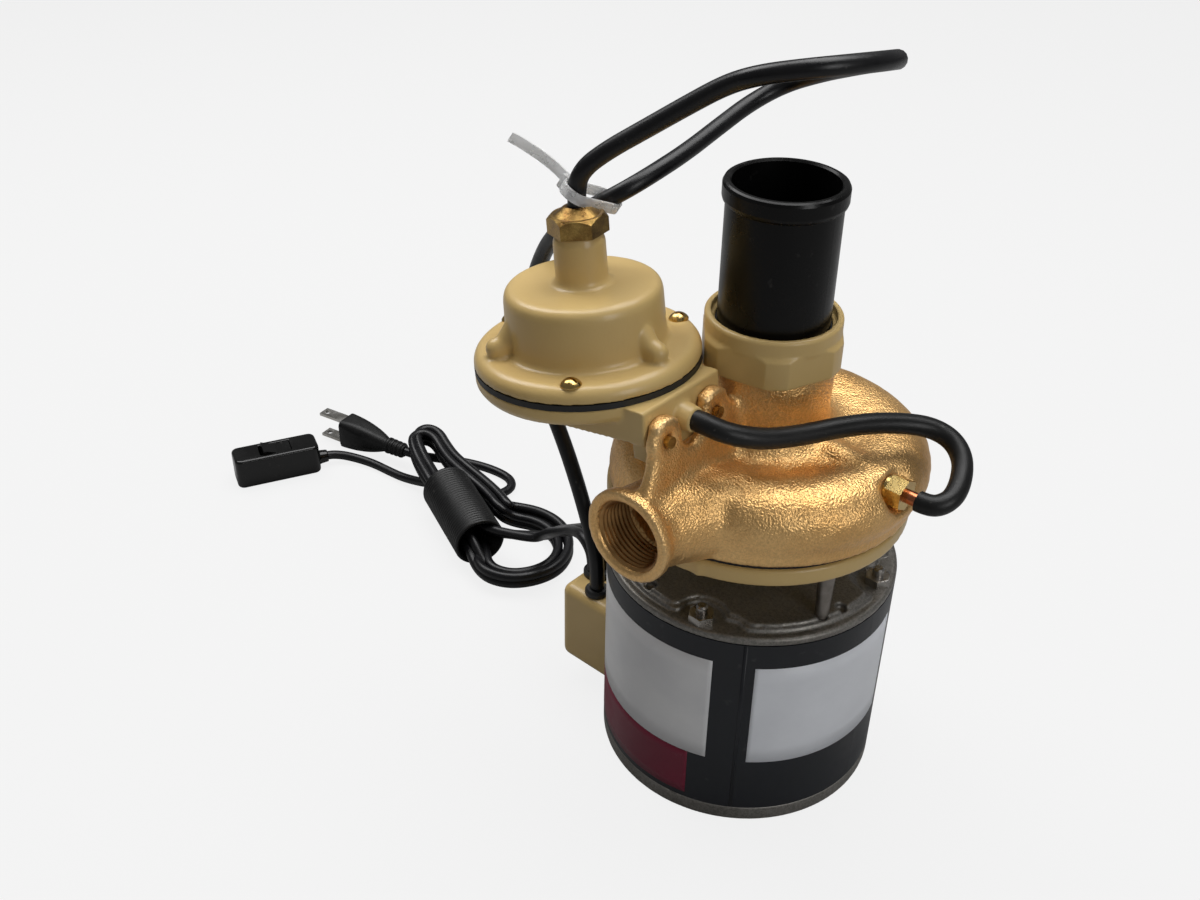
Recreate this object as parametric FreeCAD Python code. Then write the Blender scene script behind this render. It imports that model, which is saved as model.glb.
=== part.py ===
import FreeCAD, Part
import math
import os

# Laundry tray pump: a motor stands on its flat bottom, a bronze casing sits above it,
# the drain tailpiece enters from the top, and a pressure switch hangs on the casing's web.
# Frame: origin at the middle of the motor's flat bottom, +Z up, -Y out of the discharge,
# +X out of the air fitting. Millimetres.

V = FreeCAD.Vector
UP = V(0, 0, 1)

# Fits: a running fit turns or slides, a clear fit only has to miss
running = 0.05
clear = 0.4

# Motor
motor_radius = 54.0
shell_wall = 1.6
bottom_rim = 7.0
shell_top = 87.7
bell_wall = 3.0
spigot_length = 5.0
platform_rise = 2.6
platform_radius = 50.2
ridge_step = 1.3
bolt_circle = 48.4
bolt_radius = 2.1
bolt_first = -74.7
bolt_count = 4
bolt_nut_flats = 8.4
bolt_nut_height = 3.2
bolt_stub = 3.2
bolt_head_radius = 4.2
bolt_head_height = 2.2
bolt_head_inset = 0.6
post_circle = 47.2
post_first = -23.0
post_top_radius = 3.1
post_foot_radius = 2.4
stud_radius = 1.9
stud_reach = 8.0
foot_stud_length = 4.0
drain_hole_radius = 1.9
drain_hole_turn = 10.5
drain_hole_depth = 2.5

# Rotor and bearings
shaft_radius = 6.35
journal_radius = 6.0
impeller_seat_radius = 4.8
shaft_thread_radius = 3.9
bearing_radius = 10.0
bearing_length = 11.0
hub_wall = 5.0
core_bottom = 28.0
core_height = 40.0
stator_bore = 28.0
slot_count = 18
slot_width = 3.6
slot_depth = 12.0
end_turn_height = 10.0
rotor_gap = 0.4
cage_height = 6.0
cage_ring_width = 9.0
cage_bar_radius = 2.0
cage_bar_circle = 22.6
cage_bars = 16
fan_blades = 8

# Back plate, seal and impeller
plate_radius = 54.6
plate_bottom = 114.2
plate_top = 120.9
plate_hub_radius = 17.0
plate_hub_bottom = 103.0
plate_key_angle = -75.0
gasket_thickness = 1.5
seal_pocket_radius = 12.8
seal_pocket_bottom = 115.0
seal_face = 119.5
impeller_bottom = 125.4
impeller_radius = 37.0
shroud_thickness = 2.0
vane_height = 7.2
vane_thickness = 2.2
vane_count = 6
hub_radius = 11.0

# Casing
chamber_radius = 41.0
chamber_height = 13.6
casing_flange_radius = 53.6
casing_band_height = 5.0
horn_rise = 9.6
horn_start = -112.0
horn_sweep = 318.0
horn_sections = 11
volute_reaches = (52.0, 52.9, 54.0, 55.3, 56.6, 57.8, 58.6, 59.2, 59.6, 59.4, 57.8, 56.2, 55.4)
volute_crests = (21.1, 21.5, 22.0, 22.5, 23.0, 23.4, 23.7, 24.0, 24.2, 24.4, 24.8, 25.3, 25.9)
volute_inner_radius = 20.8
channel_first_reach = 43.5
channel_growth = 9.0
channel_first_size = 4.0
channel_size_growth = 4.5
discharge_rise = 12.1
discharge_face = 74.0
discharge_collar_radius = 16.6
discharge_collar_length = 4.6
discharge_neck_radius = 14.9
discharge_bore = 10.5
pipe_thread_radius = 12.5
pipe_thread_depth = 16.0
pipe_mouth_chamfer = 1.1
stud_boss_radius = 4.4
stud_boss_height = 9.1
neck_radius = 22.4
neck_height = 58.6
neck_thread_radius = 21.3
neck_thread_length = 10.0
suction_bore = 14.0
socket_depth = 23.0

# Inlet tailpiece and slip nut
tube_radius = 19.05
tube_wall = 1.6
tube_length = 76.2
tube_foot_gap = 0.3
bead_radius = 20.3
bead_height = 6.4
nut_skirt = 9.3
nut_shoulder_rise = 2.4
nut_lip_rise = 7.7
nut_flats = 46.0
nut_corner_radius = 24.6
nut_lip_radius = 23.3
nut_mouth_radius = 21.0
nut_turn = -50.2
slip_washer_height = 3.6

# Air fitting and hose
air_rise = 18.6
air_boss_face = 51.0
air_boss_radius = 6.4
air_boss_root_radius = 8.4
air_nut_flats = 10.0
air_nut_length = 6.0
copper_radius = 2.4
copper_end = 62.6
hose_radius = 3.6

# Pressure switch, in its own frame: z = 0 is the face of the cover's flange
switch_spot = V(-42.8, -45.0, 0)
switch_rise = 51.6
switch_lean = 6.3
flange_radius = 38.4
flange_height = 5.4
diaphragm_thickness = 2.0
base_depth = 8.0
base_foot_radius = 36.2
arm_reach = 41.0
arm_front = -20.0
arm_back = 18.5
arm_bottom = -13.6
arm_root_bottom = -17.0
lug_thickness = 5.0
lug_height = -13.2
lug_ear_radius = 8.0
notch_radius = 5.2
lug_spots = (-13.6, 11.1)
web_front = -25.0
web_back = 24.0
nozzle_side = -1.0
nozzle_height = -11.0
nozzle_length = 4.5
nozzle_radius = 4.0
dome_radius = 26.9
dome_top_radius = 26.4
dome_height = 26.0
dome_wall = 2.6
dome_neck_radius = 8.7
dome_neck_height = 43.0
cover_screw_circle = 33.7
cover_screw_angles = (-56, 64, 184)
rib_angles = (0, 120, -120)
gland_flats = 17.4
gland_turn = 39.0
gland_height = 6.2
gland_cap = 2.6
lead_radius = 3.0

# The tie round the two passes of the switch lead
tie_near = V(-48.9, -45.0, 229.6)
tie_far = V(-44.5, -28.7, 225.8)
tie_faces = V(0.36, 0.12, 0.925)
tie_inner = 5.9
tie_width = 2.6
tie_thickness = 1.2
tie_tail = 16.0

# Motor box and its bushings
box_outer = -71.8
box_half_width = 28.4
box_bottom = 10.5
box_top = 48.0
box_wall = 1.6
box_corner = 4.0
lead_hole = V(-57.4, -22.0, box_top)
mains_hole = V(-65.3, -12.6, box_top)
lead_bushing_radius = 3.9
mains_bushing_radius = 5.0
bushing_rise = 2.5

# The two thin cords that leave the box side by side, and what is on them
cord_radius = 2.3
cord_gap = 0.1
cords_apart = V(0.46, 0.89, 0)
hank_start = V(-150.2, -0.8, 12.6)
hank_end = V(-195.1, 18.7, 12.6)
hank_radius = 12.4
loop_radius = 6.4
fold_radius = 3.4
plug_tail = V(-239.0, 29.7, 9.0)
plug_front = V(-277.9, 22.1, 9.0)
plug_tail_radius = 3.2
plug_neck_length = 13.0
plug_face_width = 13.0
plug_face_height = 16.0
prong_length = 15.5
prong_width = 6.3
prong_thickness = 1.5
prong_spacing = 12.7
rocker_place = V(-282.0, -21.0, 0)
rocker_turn = 65.0
rocker_box_length = 43.0
rocker_box_width = 15.5
rocker_box_height = 16.5
rocker_length = 15.0
rocker_width = 9.0
rocker_lean = 9.0

os.makedirs("parts", exist_ok=True)


def spot(angle, radius, z=0.0):
    """Return the point at an angle in degrees and a radius from the pump's axis."""
    a = math.radians(angle)
    return V(radius * math.cos(a), radius * math.sin(a), z)


def rod(radius, bottom, top, x=0.0, y=0.0):
    return Part.makeCylinder(radius, top - bottom, V(x, y, bottom), UP)


def ring(outer, inner, bottom, top):
    return rod(outer, bottom, top).cut(rod(inner, bottom - 1, top + 1))


def lying_rod(radius, start, end):
    """A cylinder from one point to another."""
    way = end - start
    return Part.makeCylinder(radius, way.Length, start, way)


def lying_cone(first, last, start, end):
    way = end - start
    return Part.makeCone(first, last, way.Length, start, way)


def turned(points, centre=V(0, 0, 0)):
    """Revolve a closed outline of (radius, height) points about the vertical axis."""
    wire = Part.makePolygon([V(r, 0, z) for r, z in points + [points[0]]])
    return Part.Face(wire).revolve(V(0, 0, 0), UP, 360).translated(centre)


def prism(sides, flats, bottom, top, turn=0.0):
    """A regular prism with the given distance across its flats."""
    corner = flats / 2 / math.cos(math.pi / sides)
    ring_points = [spot(turn + 360.0 * i / sides, corner, bottom) for i in range(sides + 1)]
    return Part.Face(Part.makePolygon(ring_points)).extrude(V(0, 0, top - bottom))


def block(x0, x1, y0, y1, z0, z1):
    return Part.makeBox(x1 - x0, y1 - y0, z1 - z0, V(x0, y0, z0))


def rounded(shape, radius, direction):
    """Round the straight edges that run along a direction."""
    edges = []
    for edge in shape.Edges:
        if edge.Curve.TypeId != "Part::GeomLine":
            continue
        if abs(abs(edge.Curve.Direction.dot(direction)) - 1) < 1e-6:
            edges.append(edge)
    return shape.makeFillet(radius, edges)


def spun(shape, angle):
    return shape.rotated(V(0, 0, 0), UP, angle)


def on_switch(shape):
    """Move a shape from the switch's own frame to its place on the pump."""
    leaning = FreeCAD.Rotation(V(0, 1, 0), -switch_lean)
    moved = shape.copy()
    moved.Placement = FreeCAD.Placement(switch_place, leaning).multiply(shape.Placement)
    return moved


def switch_point(x, y, z):
    leaning = FreeCAD.Rotation(V(0, 1, 0), -switch_lean)
    return FreeCAD.Placement(switch_place, leaning).multVec(V(x, y, z))


def save(name, shape):
    shape.exportStep("parts/" + name + ".step")


# Heights that several pieces share
rim_top = shell_top + bell_wall
platform_top = rim_top + platform_rise
core_top = core_bottom + core_height
lower_bearing_bottom = bell_wall + 1.0
lower_bearing_top = lower_bearing_bottom + bearing_length
upper_bearing_top = platform_top + 3.0
upper_bearing_bottom = upper_bearing_top - bearing_length
bell_hub_radius = bearing_radius + hub_wall
stator_radius = motor_radius - shell_wall
casing_bottom = plate_top + gasket_thickness
chamber_top = casing_bottom + chamber_height
horn_height = casing_bottom + horn_rise
discharge_height = casing_bottom + discharge_rise
stud_boss_top = casing_bottom + stud_boss_height
air_height = casing_bottom + air_rise
neck_top = casing_bottom + neck_height
neck_thread_bottom = neck_top - neck_thread_length
tube_seat = neck_top - socket_depth
tube_top = tube_seat + tube_foot_gap + tube_length
nut_bottom = neck_top - nut_skirt
nut_shoulder = neck_top + nut_shoulder_rise
nut_top = neck_top + nut_lip_rise
switch_place = switch_spot + V(0, 0, casing_bottom + switch_rise)
shroud_top = impeller_bottom + shroud_thickness
impeller_top = shroud_top + vane_height + 1.4
gland_top = dome_neck_height + gland_height + gland_cap
rocker_pivot = rocker_box_height - 3.4
bolt_angles = [bolt_first + 360.0 * i / bolt_count for i in range(bolt_count)]
post_angles = [post_first + 360.0 * i / bolt_count for i in range(bolt_count)]


def motor_shell():
    shell = ring(motor_radius, stator_radius, bottom_rim, shell_top)
    return shell


def bottom_end_bell():
    """A cast cup: flat floor, bearing hub inside, and a spigot that centres the shell."""
    spigot = stator_radius - bell_wall
    hub_top = lower_bearing_top - 0.2
    bell = turned([
        (bearing_radius, 1.6),
        (0.0, 1.6),
        (0.0, 0.0),
        (motor_radius - 0.8, 0.0),
        (motor_radius, 0.8),
        (motor_radius, bottom_rim),
        (stator_radius, bottom_rim),
        (stator_radius, bottom_rim + spigot_length),
        (spigot, bottom_rim + spigot_length),
        (spigot, bell_wall),
        (bell_hub_radius + 2.0, bell_wall),
        (bell_hub_radius, bell_wall + 4.0),
        (bell_hub_radius, hub_top),
        (bearing_radius, hub_top),
    ])
    for angle in bolt_angles:
        place = spot(angle, bolt_circle)
        boss = rod(bolt_head_radius + 1.4, 0.0, bell_wall + 3.0, place.x, place.y)
        bell = bell.fuse(boss.common(rod(stator_radius, 0.0, bell_wall + 3.0)))
    for angle in bolt_angles:
        place = spot(angle, bolt_circle)
        seat = bolt_head_inset + bolt_head_height
        bell = bell.cut(rod(bolt_head_radius + 0.3, -1.0, seat, place.x, place.y))
        bell = bell.cut(rod(bolt_radius, 0.0, 20.0, place.x, place.y))
        notch = block(motor_radius - 1.2, motor_radius + 1.0, -1.6, 1.6, bottom_rim - 1.4, bottom_rim)
        bell = bell.cut(spun(notch, angle + 85.0))
    return bell


def top_end_bell():
    """The upper casting: a rim on the shell and a raised platform that bends round each bolt."""
    spigot = stator_radius - bell_wall
    bell = turned([
        (bearing_radius, shell_top - 6.0),
        (bell_hub_radius, shell_top - 6.0),
        (bell_hub_radius + 1.5, shell_top),
        (spigot, shell_top),
        (spigot, shell_top - spigot_length),
        (stator_radius, shell_top - spigot_length),
        (stator_radius, shell_top),
        (motor_radius, shell_top),
        (motor_radius, rim_top - 0.8),
        (motor_radius - 0.8, rim_top),
        (bell_hub_radius, rim_top),
        (bell_hub_radius, upper_bearing_top),
        (bearing_radius, upper_bearing_top),
    ])
    lower = rod(platform_radius, rim_top, rim_top + ridge_step)
    upper = rod(platform_radius - 1.5, rim_top + ridge_step, platform_top)
    for angle in bolt_angles:
        place = spot(angle, bolt_circle)
        lobe = spot(angle + 13.0, bolt_circle + 3.0)
        lower = lower.cut(rod(8.2, rim_top, platform_top, place.x, place.y))
        lower = lower.cut(rod(5.2, rim_top, platform_top, lobe.x, lobe.y))
        upper = upper.cut(rod(9.8, rim_top, platform_top, place.x, place.y))
        upper = upper.cut(rod(6.6, rim_top, platform_top, lobe.x, lobe.y))
    lower = rounded(lower, 2.5, UP)
    upper = rounded(upper, 2.5, UP)
    bore = rod(bearing_radius, rim_top - 1.0, upper_bearing_top + 1.0)
    bell = bell.fuse(lower).fuse(upper).cut(bore).removeSplitter()
    for angle in bolt_angles:
        place = spot(angle, bolt_circle)
        bell = bell.cut(rod(bolt_radius, shell_top - 10.0, platform_top + 1.0, place.x, place.y))
    for angle in post_angles:
        place = spot(angle + drain_hole_turn, post_circle)
        floor = platform_top - drain_hole_depth
        bell = bell.cut(rod(drain_hole_radius, floor, platform_top + 1.0, place.x, place.y))
    for angle in post_angles:
        place = spot(angle, post_circle)
        floor = platform_top - foot_stud_length
        bell = bell.cut(rod(stud_radius + running, floor, platform_top + 1.0, place.x, place.y))
    return bell


def stator_core():
    core = ring(stator_radius, stator_bore, core_bottom, core_top)
    for i in range(slot_count):
        slot = block(stator_bore + 1.5, stator_bore + 1.5 + slot_depth,
                     -slot_width / 2, slot_width / 2, core_bottom - 1, core_top + 1)
        mouth = block(stator_bore - 1.0, stator_bore + 2.0, -0.9, 0.9, core_bottom - 1, core_top + 1)
        core = core.cut(spun(slot.fuse(mouth), 360.0 * i / slot_count))
    for angle in bolt_angles:
        place = spot(angle, bolt_circle)
        core = core.cut(rod(bolt_radius + clear, core_bottom - 1, core_top + 1, place.x, place.y))
    return core


def windings():
    """Copper bars in the slots, joined by the rounded end turns above and below the core."""
    inner = stator_bore + 1.7
    outer = stator_bore + 1.3 + slot_depth
    copper = None
    for bottom in (core_bottom - end_turn_height - 1.0, core_top + 1.0):
        end_turn = ring(outer, inner, bottom, bottom + end_turn_height)
        corners = [edge for edge in end_turn.Edges if edge.Curve.TypeId == "Part::GeomCircle"]
        end_turn = end_turn.makeFillet(3.0, corners)
        copper = end_turn if copper is None else copper.fuse(end_turn)
    for i in range(slot_count):
        bar = block(inner + 1.0, outer - 1.0, 0.2 - slot_width / 2, slot_width / 2 - 0.2,
                    core_bottom - 4.0, core_top + 4.0)
        copper = copper.fuse(spun(bar, 360.0 * i / slot_count))
    return copper


def rotor_core():
    core = ring(stator_bore - rotor_gap, shaft_radius, core_bottom, core_top)
    for i in range(cage_bars):
        place = spot(360.0 * i / cage_bars, cage_bar_circle)
        core = core.cut(rod(cage_bar_radius + running, core_bottom - 1, core_top + 1, place.x, place.y))
    return core


def rotor_cage():
    """The cast cage: two end rings, the bars through the core, and blades that stir the air."""
    outer = stator_bore - rotor_gap - 1.6
    inner = outer - cage_ring_width
    cage = ring(outer, inner, core_bottom - cage_height, core_bottom)
    cage = cage.fuse(ring(outer, inner, core_top, core_top + cage_height))
    for i in range(cage_bars):
        place = spot(360.0 * i / cage_bars, cage_bar_circle)
        cage = cage.fuse(rod(cage_bar_radius, core_bottom - 1, core_top + 1, place.x, place.y))
    for i in range(fan_blades):
        low = block(outer - 7.0, outer - 1.0, -0.8, 0.8, core_bottom - cage_height - 5.0, core_bottom - 1)
        high = block(outer - 7.0, outer - 1.0, -0.8, 0.8, core_top + 1, core_top + cage_height + 5.0)
        cage = cage.fuse(spun(low.fuse(high), 360.0 * i / fan_blades))
    return cage.removeSplitter()


def shaft():
    return turned([
        (0.0, lower_bearing_bottom),
        (journal_radius - 0.6, lower_bearing_bottom),
        (journal_radius, lower_bearing_bottom + 0.6),
        (journal_radius, lower_bearing_top + 1.6),
        (shaft_radius, lower_bearing_top + 1.6),
        (shaft_radius, upper_bearing_bottom - 1.0),
        (journal_radius, upper_bearing_bottom - 1.0),
        (journal_radius, impeller_bottom),
        (impeller_seat_radius, impeller_bottom),
        (impeller_seat_radius, impeller_top),
        (shaft_thread_radius, impeller_top),
        (shaft_thread_radius, impeller_top + 4.6),
        (shaft_thread_radius - 0.6, impeller_top + 5.2),
        (0.0, impeller_top + 5.2),
    ])


def bearing(bottom):
    return ring(bearing_radius, journal_radius + running, bottom, bottom + bearing_length)


def thrust_washer():
    bottom = lower_bearing_top
    return ring(bearing_radius - 0.5, journal_radius + 0.2, bottom, bottom + 1.4)


def slinger():
    """A soft disc on the shaft that throws off any drip before it reaches the bearing."""
    return turned([
        (journal_radius, upper_bearing_top + 1.0),
        (journal_radius + 3.0, upper_bearing_top + 1.0),
        (journal_radius + 7.5, upper_bearing_top + 2.4),
        (journal_radius + 7.5, upper_bearing_top + 3.4),
        (journal_radius + 3.0, upper_bearing_top + 3.2),
        (journal_radius, upper_bearing_top + 4.4),
    ])


def through_bolt(angle):
    """A long bolt that clamps both bells on the shell, with its chamfered nut on the top bell."""
    head = rod(bolt_head_radius, bolt_head_inset, bolt_head_inset + bolt_head_height)
    nut_top = rim_top + bolt_nut_height
    top = nut_top + bolt_stub
    shank = rod(bolt_radius, bolt_head_height, top)
    tip = [edge for edge in shank.Edges if edge.CenterOfMass.z > top - 0.1]
    nut = prism(6, bolt_nut_flats, rim_top, nut_top)
    corner = turned([
        (0.0, rim_top),
        (bolt_nut_flats, rim_top),
        (bolt_nut_flats, nut_top - 1.6),
        (bolt_nut_flats / 2 - 0.1, nut_top),
        (0.0, nut_top),
    ])
    bolt = head.fuse([shank.makeChamfer(0.6, tip), nut.common(corner)])
    return bolt.translated(spot(angle, bolt_circle))


def post(angle):
    """A tapered standoff whose studs hold the back plate and casing above the motor."""
    foot = platform_top
    stud_top = casing_bottom + stud_reach
    outline = turned([
        (0.0, foot - foot_stud_length),
        (stud_radius, foot - foot_stud_length),
        (stud_radius, foot),
        (post_foot_radius, foot),
        (post_foot_radius + 0.1, foot + 1.0),
        (post_top_radius, plate_bottom),
        (stud_radius, plate_bottom),
        (stud_radius, stud_top - 0.5),
        (stud_radius - 0.5, stud_top),
        (0.0, stud_top),
    ])
    return outline.translated(spot(angle, post_circle))


def back_plate():
    """The painted adapter: a round plate with a spigot, a seal pocket and a hub below."""
    spigot = chamber_radius - clear
    shaft_hole = journal_radius + 1.2
    plate = turned([
        (shaft_hole, plate_hub_bottom),
        (plate_hub_radius - 1.5, plate_hub_bottom),
        (plate_hub_radius, plate_hub_bottom + 1.5),
        (plate_hub_radius, plate_bottom - 3.0),
        (plate_hub_radius + 3.0, plate_bottom),
        (plate_radius - 0.8, plate_bottom),
        (plate_radius, plate_bottom + 0.8),
        (plate_radius, plate_top - 0.6),
        (plate_radius - 0.6, plate_top),
        (spigot, plate_top),
        (spigot, plate_top + 2.5),
        (seal_pocket_radius + 3.0, plate_top + 2.5),
        (seal_pocket_radius + 2.0, plate_top),
        (seal_pocket_radius, plate_top),
        (seal_pocket_radius, seal_pocket_bottom),
        (shaft_hole, seal_pocket_bottom),
    ])
    key = spot(plate_key_angle, plate_radius - 2.4)
    plate = plate.fuse(rod(2.8, plate_bottom, plate_top - 1.6, key.x, key.y))
    for angle in post_angles:
        place = spot(angle, post_circle)
        plate = plate.cut(rod(stud_radius + running, plate_bottom - 3, plate_top + 1, place.x, place.y))
    return plate


def casing_gasket():
    gasket = ring(casing_flange_radius - 0.5, chamber_radius, plate_top, casing_bottom)
    for angle in post_angles:
        place = spot(angle, post_circle)
        gasket = gasket.cut(rod(stud_radius + 0.3, plate_top - 1, casing_bottom + 1, place.x, place.y))
    return gasket


def seal_seat():
    return ring(seal_pocket_radius, journal_radius + 2.0, seal_pocket_bottom, seal_face)


def seal_head():
    """The turning half of the seal: a carbon ring on a ribbed rubber bellows."""
    r = journal_radius
    h = impeller_bottom - seal_face
    return turned([
        (r + 0.9, seal_face),
        (r + 4.4, seal_face),
        (r + 4.4, seal_face + 0.42 * h),
        (r + 2.4, seal_face + 0.50 * h),
        (r + 3.6, seal_face + 0.62 * h),
        (r + 2.4, seal_face + 0.74 * h),
        (r + 3.4, seal_face + 0.86 * h),
        (r + 3.4, impeller_bottom),
        (r, impeller_bottom),
        (r, seal_face + 0.42 * h),
        (r + 0.9, seal_face + 0.42 * h),
    ])


def vane():
    """One backward curved vane, bounded by two arcs and swept up from the shroud."""
    inner = hub_radius - 0.6
    outer = impeller_radius
    start = spot(0, inner)
    middle = spot(28, 0.60 * outer)
    end = spot(62, outer - 0.2)
    half = vane_thickness / 2
    out = [V(p.x, p.y, 0) + V(-p.y, p.x, 0).normalize() * half for p in (start, middle, end)]
    back = [V(p.x, p.y, 0) - V(-p.y, p.x, 0).normalize() * half for p in (start, middle, end)]
    edges = [
        Part.Arc(out[0], out[1], out[2]).toShape(),
        Part.LineSegment(out[2], back[2]).toShape(),
        Part.Arc(back[2], back[1], back[0]).toShape(),
        Part.LineSegment(back[0], out[0]).toShape(),
    ]
    face = Part.Face(Part.Wire(edges))
    blade = face.extrude(V(0, 0, vane_height + 0.5)).translated(V(0, 0, shroud_top - 0.5))
    return blade.common(rod(outer, impeller_bottom, chamber_top))


def impeller():
    wheel = rod(impeller_radius, impeller_bottom, shroud_top)
    wheel = wheel.fuse(rod(hub_radius, impeller_bottom, impeller_top))
    blade = vane()
    for i in range(vane_count):
        wheel = wheel.fuse(spun(blade, 360.0 * i / vane_count))
    return wheel.cut(rod(impeller_seat_radius, impeller_bottom - 1, impeller_top + 1))


def impeller_nut():
    nut = prism(6, 12.0, impeller_top, impeller_top + 4.0, 15.0)
    return nut.cut(rod(shaft_thread_radius, impeller_top - 1, impeller_top + 5))


def horn(first_reach, growth, first_size, size_growth, ease):
    """A tube that grows clockwise round the pump, from beside the discharge back to it."""
    wires = []
    for i in range(horn_sections):
        f = i / (horn_sections - 1.0)
        angle = horn_start - horn_sweep * f
        size = first_size + size_growth * f
        reach = first_reach + growth * f ** ease
        centre = spot(angle, reach - size, horn_height)
        along = spot(angle - 90.0, 1.0)
        wires.append(Part.Wire(Part.Circle(centre, along, size).toShape()))
    return Part.makeLoft(wires, True, False)


def lug_outline():
    """The casing's web in the switch's frame: two ears for the screws and a notch between."""
    near = arm_reach
    web = block(near, near + lug_thickness, web_front + 5.0, web_back, -44.0, lug_height)
    foot = [V(near, web_front, -44), V(near, web_front, -26), V(near, web_front + 5.5, -14),
            V(near, web_front + 9, -14), V(near, web_front + 9, -44), V(near, web_front, -44)]
    web = web.fuse(Part.Face(Part.makePolygon(foot)).extrude(V(lug_thickness, 0, 0)))
    for side in lug_spots:
        ear = Part.makeCylinder(lug_ear_radius, lug_thickness, V(near, side, lug_height), V(1, 0, 0))
        web = web.fuse(ear)
    bottom = nozzle_height - 3.4
    gap = Part.makeCylinder(notch_radius, lug_thickness + 2, V(near - 1, nozzle_side, bottom), V(1, 0, 0))
    slit = block(near - 1, near + lug_thickness + 1, nozzle_side - notch_radius,
                 nozzle_side + notch_radius, bottom, 0)
    web = web.cut(gap).cut(slit).removeSplitter()
    return web


def volute():
    """The casing's outer form: it leaves the neck, dips, and swells over the growing channel."""
    wires = []
    last = len(volute_reaches) - 1.0
    for i, (reach, crest_rise) in enumerate(zip(volute_reaches, volute_crests)):
        angle = horn_start - horn_sweep * i / last
        crest = casing_bottom + crest_rise
        band = casing_flange_radius + 0.3 * (reach - volute_reaches[0])
        outline = [
            (volute_inner_radius, casing_bottom + 28.0),
            (neck_radius + 1.6, casing_bottom + 25.8),
            (neck_radius + 5.6, casing_bottom + 23.2),
            (reach - 17.0, crest),
            (reach - 9.0, crest - 0.9),
            (reach - 3.4, crest - 4.4),
            (reach - 0.5, crest - 9.6),
            (reach, crest - 13.0),
            (band, casing_bottom + casing_band_height),
        ]
        points = [spot(angle, r, z) for r, z in outline]
        skin = Part.BSplineCurve()
        skin.interpolate(points)
        foot = spot(angle, band, casing_bottom - 1.0)
        inner_foot = spot(angle, volute_inner_radius, casing_bottom - 1.0)
        corners = [points[-1], foot, inner_foot, points[0]]
        sides = [Part.LineSegment(p, q).toShape() for p, q in zip(corners, corners[1:])]
        wires.append(Part.Wire([skin.toShape()] + sides))
    form = Part.makeLoft(wires, True, False)
    return form.cut(rod(casing_flange_radius + 20.0, casing_bottom - 5.0, casing_bottom))


def flare():
    """The discharge neck: it widens from the collar and sinks into the casing's right side."""
    sections = (
        (0.0, -discharge_face + discharge_collar_length - 1.0, 0.0, discharge_neck_radius),
        (3.6, -56.0, -0.6, discharge_neck_radius + 1.0),
        (9.0, -42.0, -2.6, discharge_neck_radius + 2.4),
        (12.0, -24.0, -7.6, discharge_neck_radius + 2.2),
    )
    wires = []
    for side, along, drop, radius in sections:
        centre = V(side, along, discharge_height + drop)
        wires.append(Part.Wire(Part.Circle(centre, V(0, 1, 0), radius).toShape()))
    return Part.makeLoft(wires, True, False)


def casing():
    """The bronze casting: body, volute, discharge, inlet neck, air boss and web."""
    first_reach = volute_reaches[0]
    first_crest = casing_bottom + volute_crests[0]
    body = turned([
        (0.0, casing_bottom),
        (casing_flange_radius - 0.2, casing_bottom),
        (casing_flange_radius - 0.2, casing_bottom + casing_band_height),
        (first_reach - 0.6, first_crest - 12.0),
        (first_reach - 1.2, first_crest - 8.0),
        (first_reach - 4.2, first_crest - 4.2),
        (first_reach - 9.8, first_crest - 1.4),
        (first_reach - 17.0, first_crest - 0.4),
        (neck_radius + 6.2, casing_bottom + 22.6),
        (neck_radius + 2.2, casing_bottom + 25.0),
        (neck_radius, casing_bottom + 28.0),
        (neck_radius, neck_thread_bottom),
        (neck_thread_radius, neck_thread_bottom),
        (neck_thread_radius, neck_top),
        (0.0, neck_top),
    ])
    mouth = V(0, -discharge_face, discharge_height)
    collar_back = V(0, discharge_collar_length - discharge_face, discharge_height)
    collar = lying_rod(discharge_collar_radius, mouth, collar_back)
    collar = collar.makeFillet(0.8, [e for e in collar.Edges if e.Curve.TypeId == "Part::GeomCircle"])
    air_boss = lying_cone(air_boss_root_radius, air_boss_radius,
                          V(neck_radius - 6, 0, air_height), V(air_boss_face, 0, air_height))
    whole = body.fuse([volute(), flare(), collar, air_boss, on_switch(lug_outline())])
    scoop = lying_rod(air_boss_radius + 0.6, V(air_boss_face, 0, air_height + 0.4), V(80, 0, air_height + 0.4))
    below = rod(plate_radius + clear, casing_bottom - 20.0, casing_bottom)
    return whole.cut(scoop).cut(below).cut(casing_hollow()).removeSplitter()


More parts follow.
